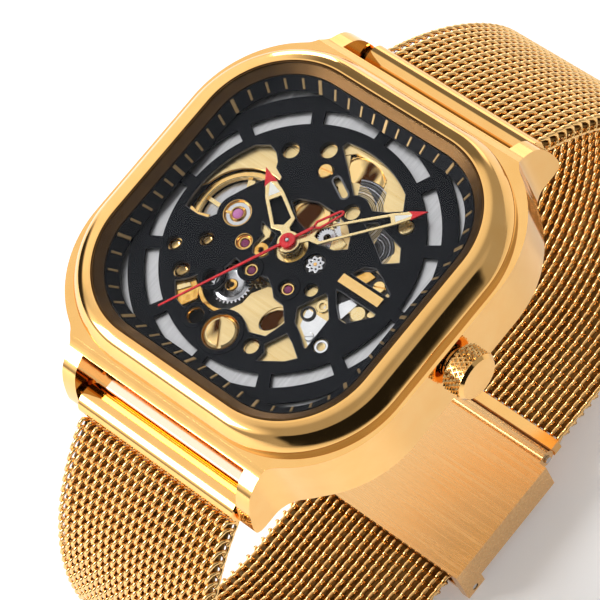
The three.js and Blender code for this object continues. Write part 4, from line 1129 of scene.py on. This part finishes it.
def along_band(line, s):
    """Place and heading at a distance along the line, in radians for the heading."""
    low = 0
    while low < len(line) - 2 and line[low + 1][0] < s:
        low += 1
    a, b = line[low], line[low + 1]
    t = (s - a[0]) / (b[0] - a[0])
    y, z, heading = (a[k] + (b[k] - a[k]) * t for k in (1, 2, 3))
    return y, z, math.radians(heading)


def on_band(line, sign, x, s, up):
    """The point across the band at x, at a distance along its centre line and outside it."""
    y, z, heading = along_band(line, s)
    return Vector((x, sign * (y + up * math.sin(heading)), z + up * math.cos(heading)))


def squarish(value, power=0.8):
    return math.copysign(abs(value) ** power, value)


def weave(half):
    """One half of the band: flattened wire coils laid across it, each hooked into the next."""
    line = band_line(half)
    sign = 1 if half == "12" else -1
    length = line[-1][0]
    per_turn, edge = 10, 0.35
    turns = int(2 * MESH_HALF / PITCH_X)
    woven = length - edge - 0.6
    rows = int(woven / PITCH_S)
    verts, faces = [], []
    for row in range(rows + 1):
        middle = edge + row * woven / rows
        path = []
        for i in range(turns * per_turn + 1):
            t = 2 * math.pi * i / per_turn
            # Seen from outside, x grows with y on both halves.
            along = -sign * COIL_LONG * squarish(math.cos(t), 0.9)
            up = COIL_HIGH * squarish(math.sin(t), 0.6)
            x = PITCH_X * (i / per_turn - turns / 2) - 0.1 * math.cos(t)
            path.append(on_band(line, sign, x, min(max(middle + along, 0), length), up))
        add_wire(verts, faces, path)
    coils = len(faces)
    add_core(verts, faces, line, sign)
    obj = new_object(f"band_{half}_weave", verts, faces, MESH_GOLD)
    obj.data.materials.append(WEAVE_SHADE_GOLD)
    # The inner strip takes the dark gold of painted shade.
    for face in obj.data.polygons[coils:]:
        face.material_index = 1
    place_blended(obj, half)


def add_core(verts, faces, line, sign):
    """The crossing wires deep in the weave, as one dark ribbed strip that closes its gaps; the
    strip's dark gold is painted shade between the coils.
    """
    base = len(verts)
    high, low, wide = 0.16, 0.1, MESH_HALF - 0.35
    length = line[-1][0]
    steps = int(length / 0.65)
    for i in range(steps + 1):
        s = 0.2 + (length - 0.4) * i / steps
        lift = high if i % 2 else low
        for x, up in ((-wide, lift), (wide, lift), (wide, -lift), (-wide, -lift)):
            verts.append(on_band(line, sign, x, s, up) * MM)
    faces += tube_faces(base, steps + 1, 4)


def add_wire(verts, faces, path):
    """Adds a round wire along a path of millimetres measured from the surface."""
    base = len(verts)
    section = circle(0, 0, WIRE, 6)
    last = len(path) - 1
    for i, p in enumerate(path):
        along = (path[min(i + 1, last)] - path[max(i - 1, 0)]).normalized()
        side = (Vector((1, 0, 0)) - along * along.x).normalized()
        up = along.cross(side)
        verts += [(p + side * a + up * b) * MM for a, b in section]
    faces += tube_faces(base, len(path), len(section))


def place_blended(obj, half):
    """Hides the CAD mesh pieces of this half and bakes the weave's placement into its points."""
    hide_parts(f"mesh_{half}_upper", f"mesh_{half}_lower")
    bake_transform(obj)


# ---------------------------------------------------------------- finishes of the CAD nodes shown
CAD_FINISH = {
    GOLD_SATIN: ["clasp_frame"],
    GOLD: ["clasp_lock", "band_end_12", "band_end_6"]
          + [f"back_screw_{i}" for i in range(1, 5)],
    SILVER: ["dial_base_ring", "main_plate", "case_back"],
    STEEL: ["crown_tube", "winding_stem", "setting_lever", "spring_bar_12", "spring_bar_6",
            "clasp_lock_pin", "clasp_hinge_pin", "mainspring_barrel", "pallet_fork", "escape_wheel",
            "rotor_bearing", "seconds_arbor", "cannon_pinion"],
    TRIM_GOLD: ["dial_plaque"],
    PALE_GOLD: ["hour_wheel", "minute_wheel", "centre_wheel", "third_wheel",
                "fourth_wheel", "balance_wheel"],
    GILT: ["train_bridge", "rotor"],
    RUBBER: ["bezel_gasket"],
    NYLON: ["movement_holder"],
    BLUED: ["hairspring"],
    GLASS: ["back_window"],
}
CAD_BEVEL = {"clasp_frame": 0.35, "clasp_lock": 0.25, "band_end_12": 0.2, "band_end_6": 0.2,
             "case_back": 0.12, "rotor": 0.1, "dial_plaque": 0.05}


def finish_cad_nodes():
    for material, names in CAD_FINISH.items():
        for name in names:
            node = nodes[name]
            node.data.materials.clear()
            node.data.materials.append(material)
            if name not in ("hairspring", "back_window"):
                bevel(node, CAD_BEVEL.get(name, 0.03), 2, 30)


make_case()
make_bezel()
make_crystal()
make_flange()
make_dial()
make_movement_view()
make_hands()
make_crown()
make_tubes()
for band_half in ("12", "6"):
    weave(band_half)
finish_cad_nodes()
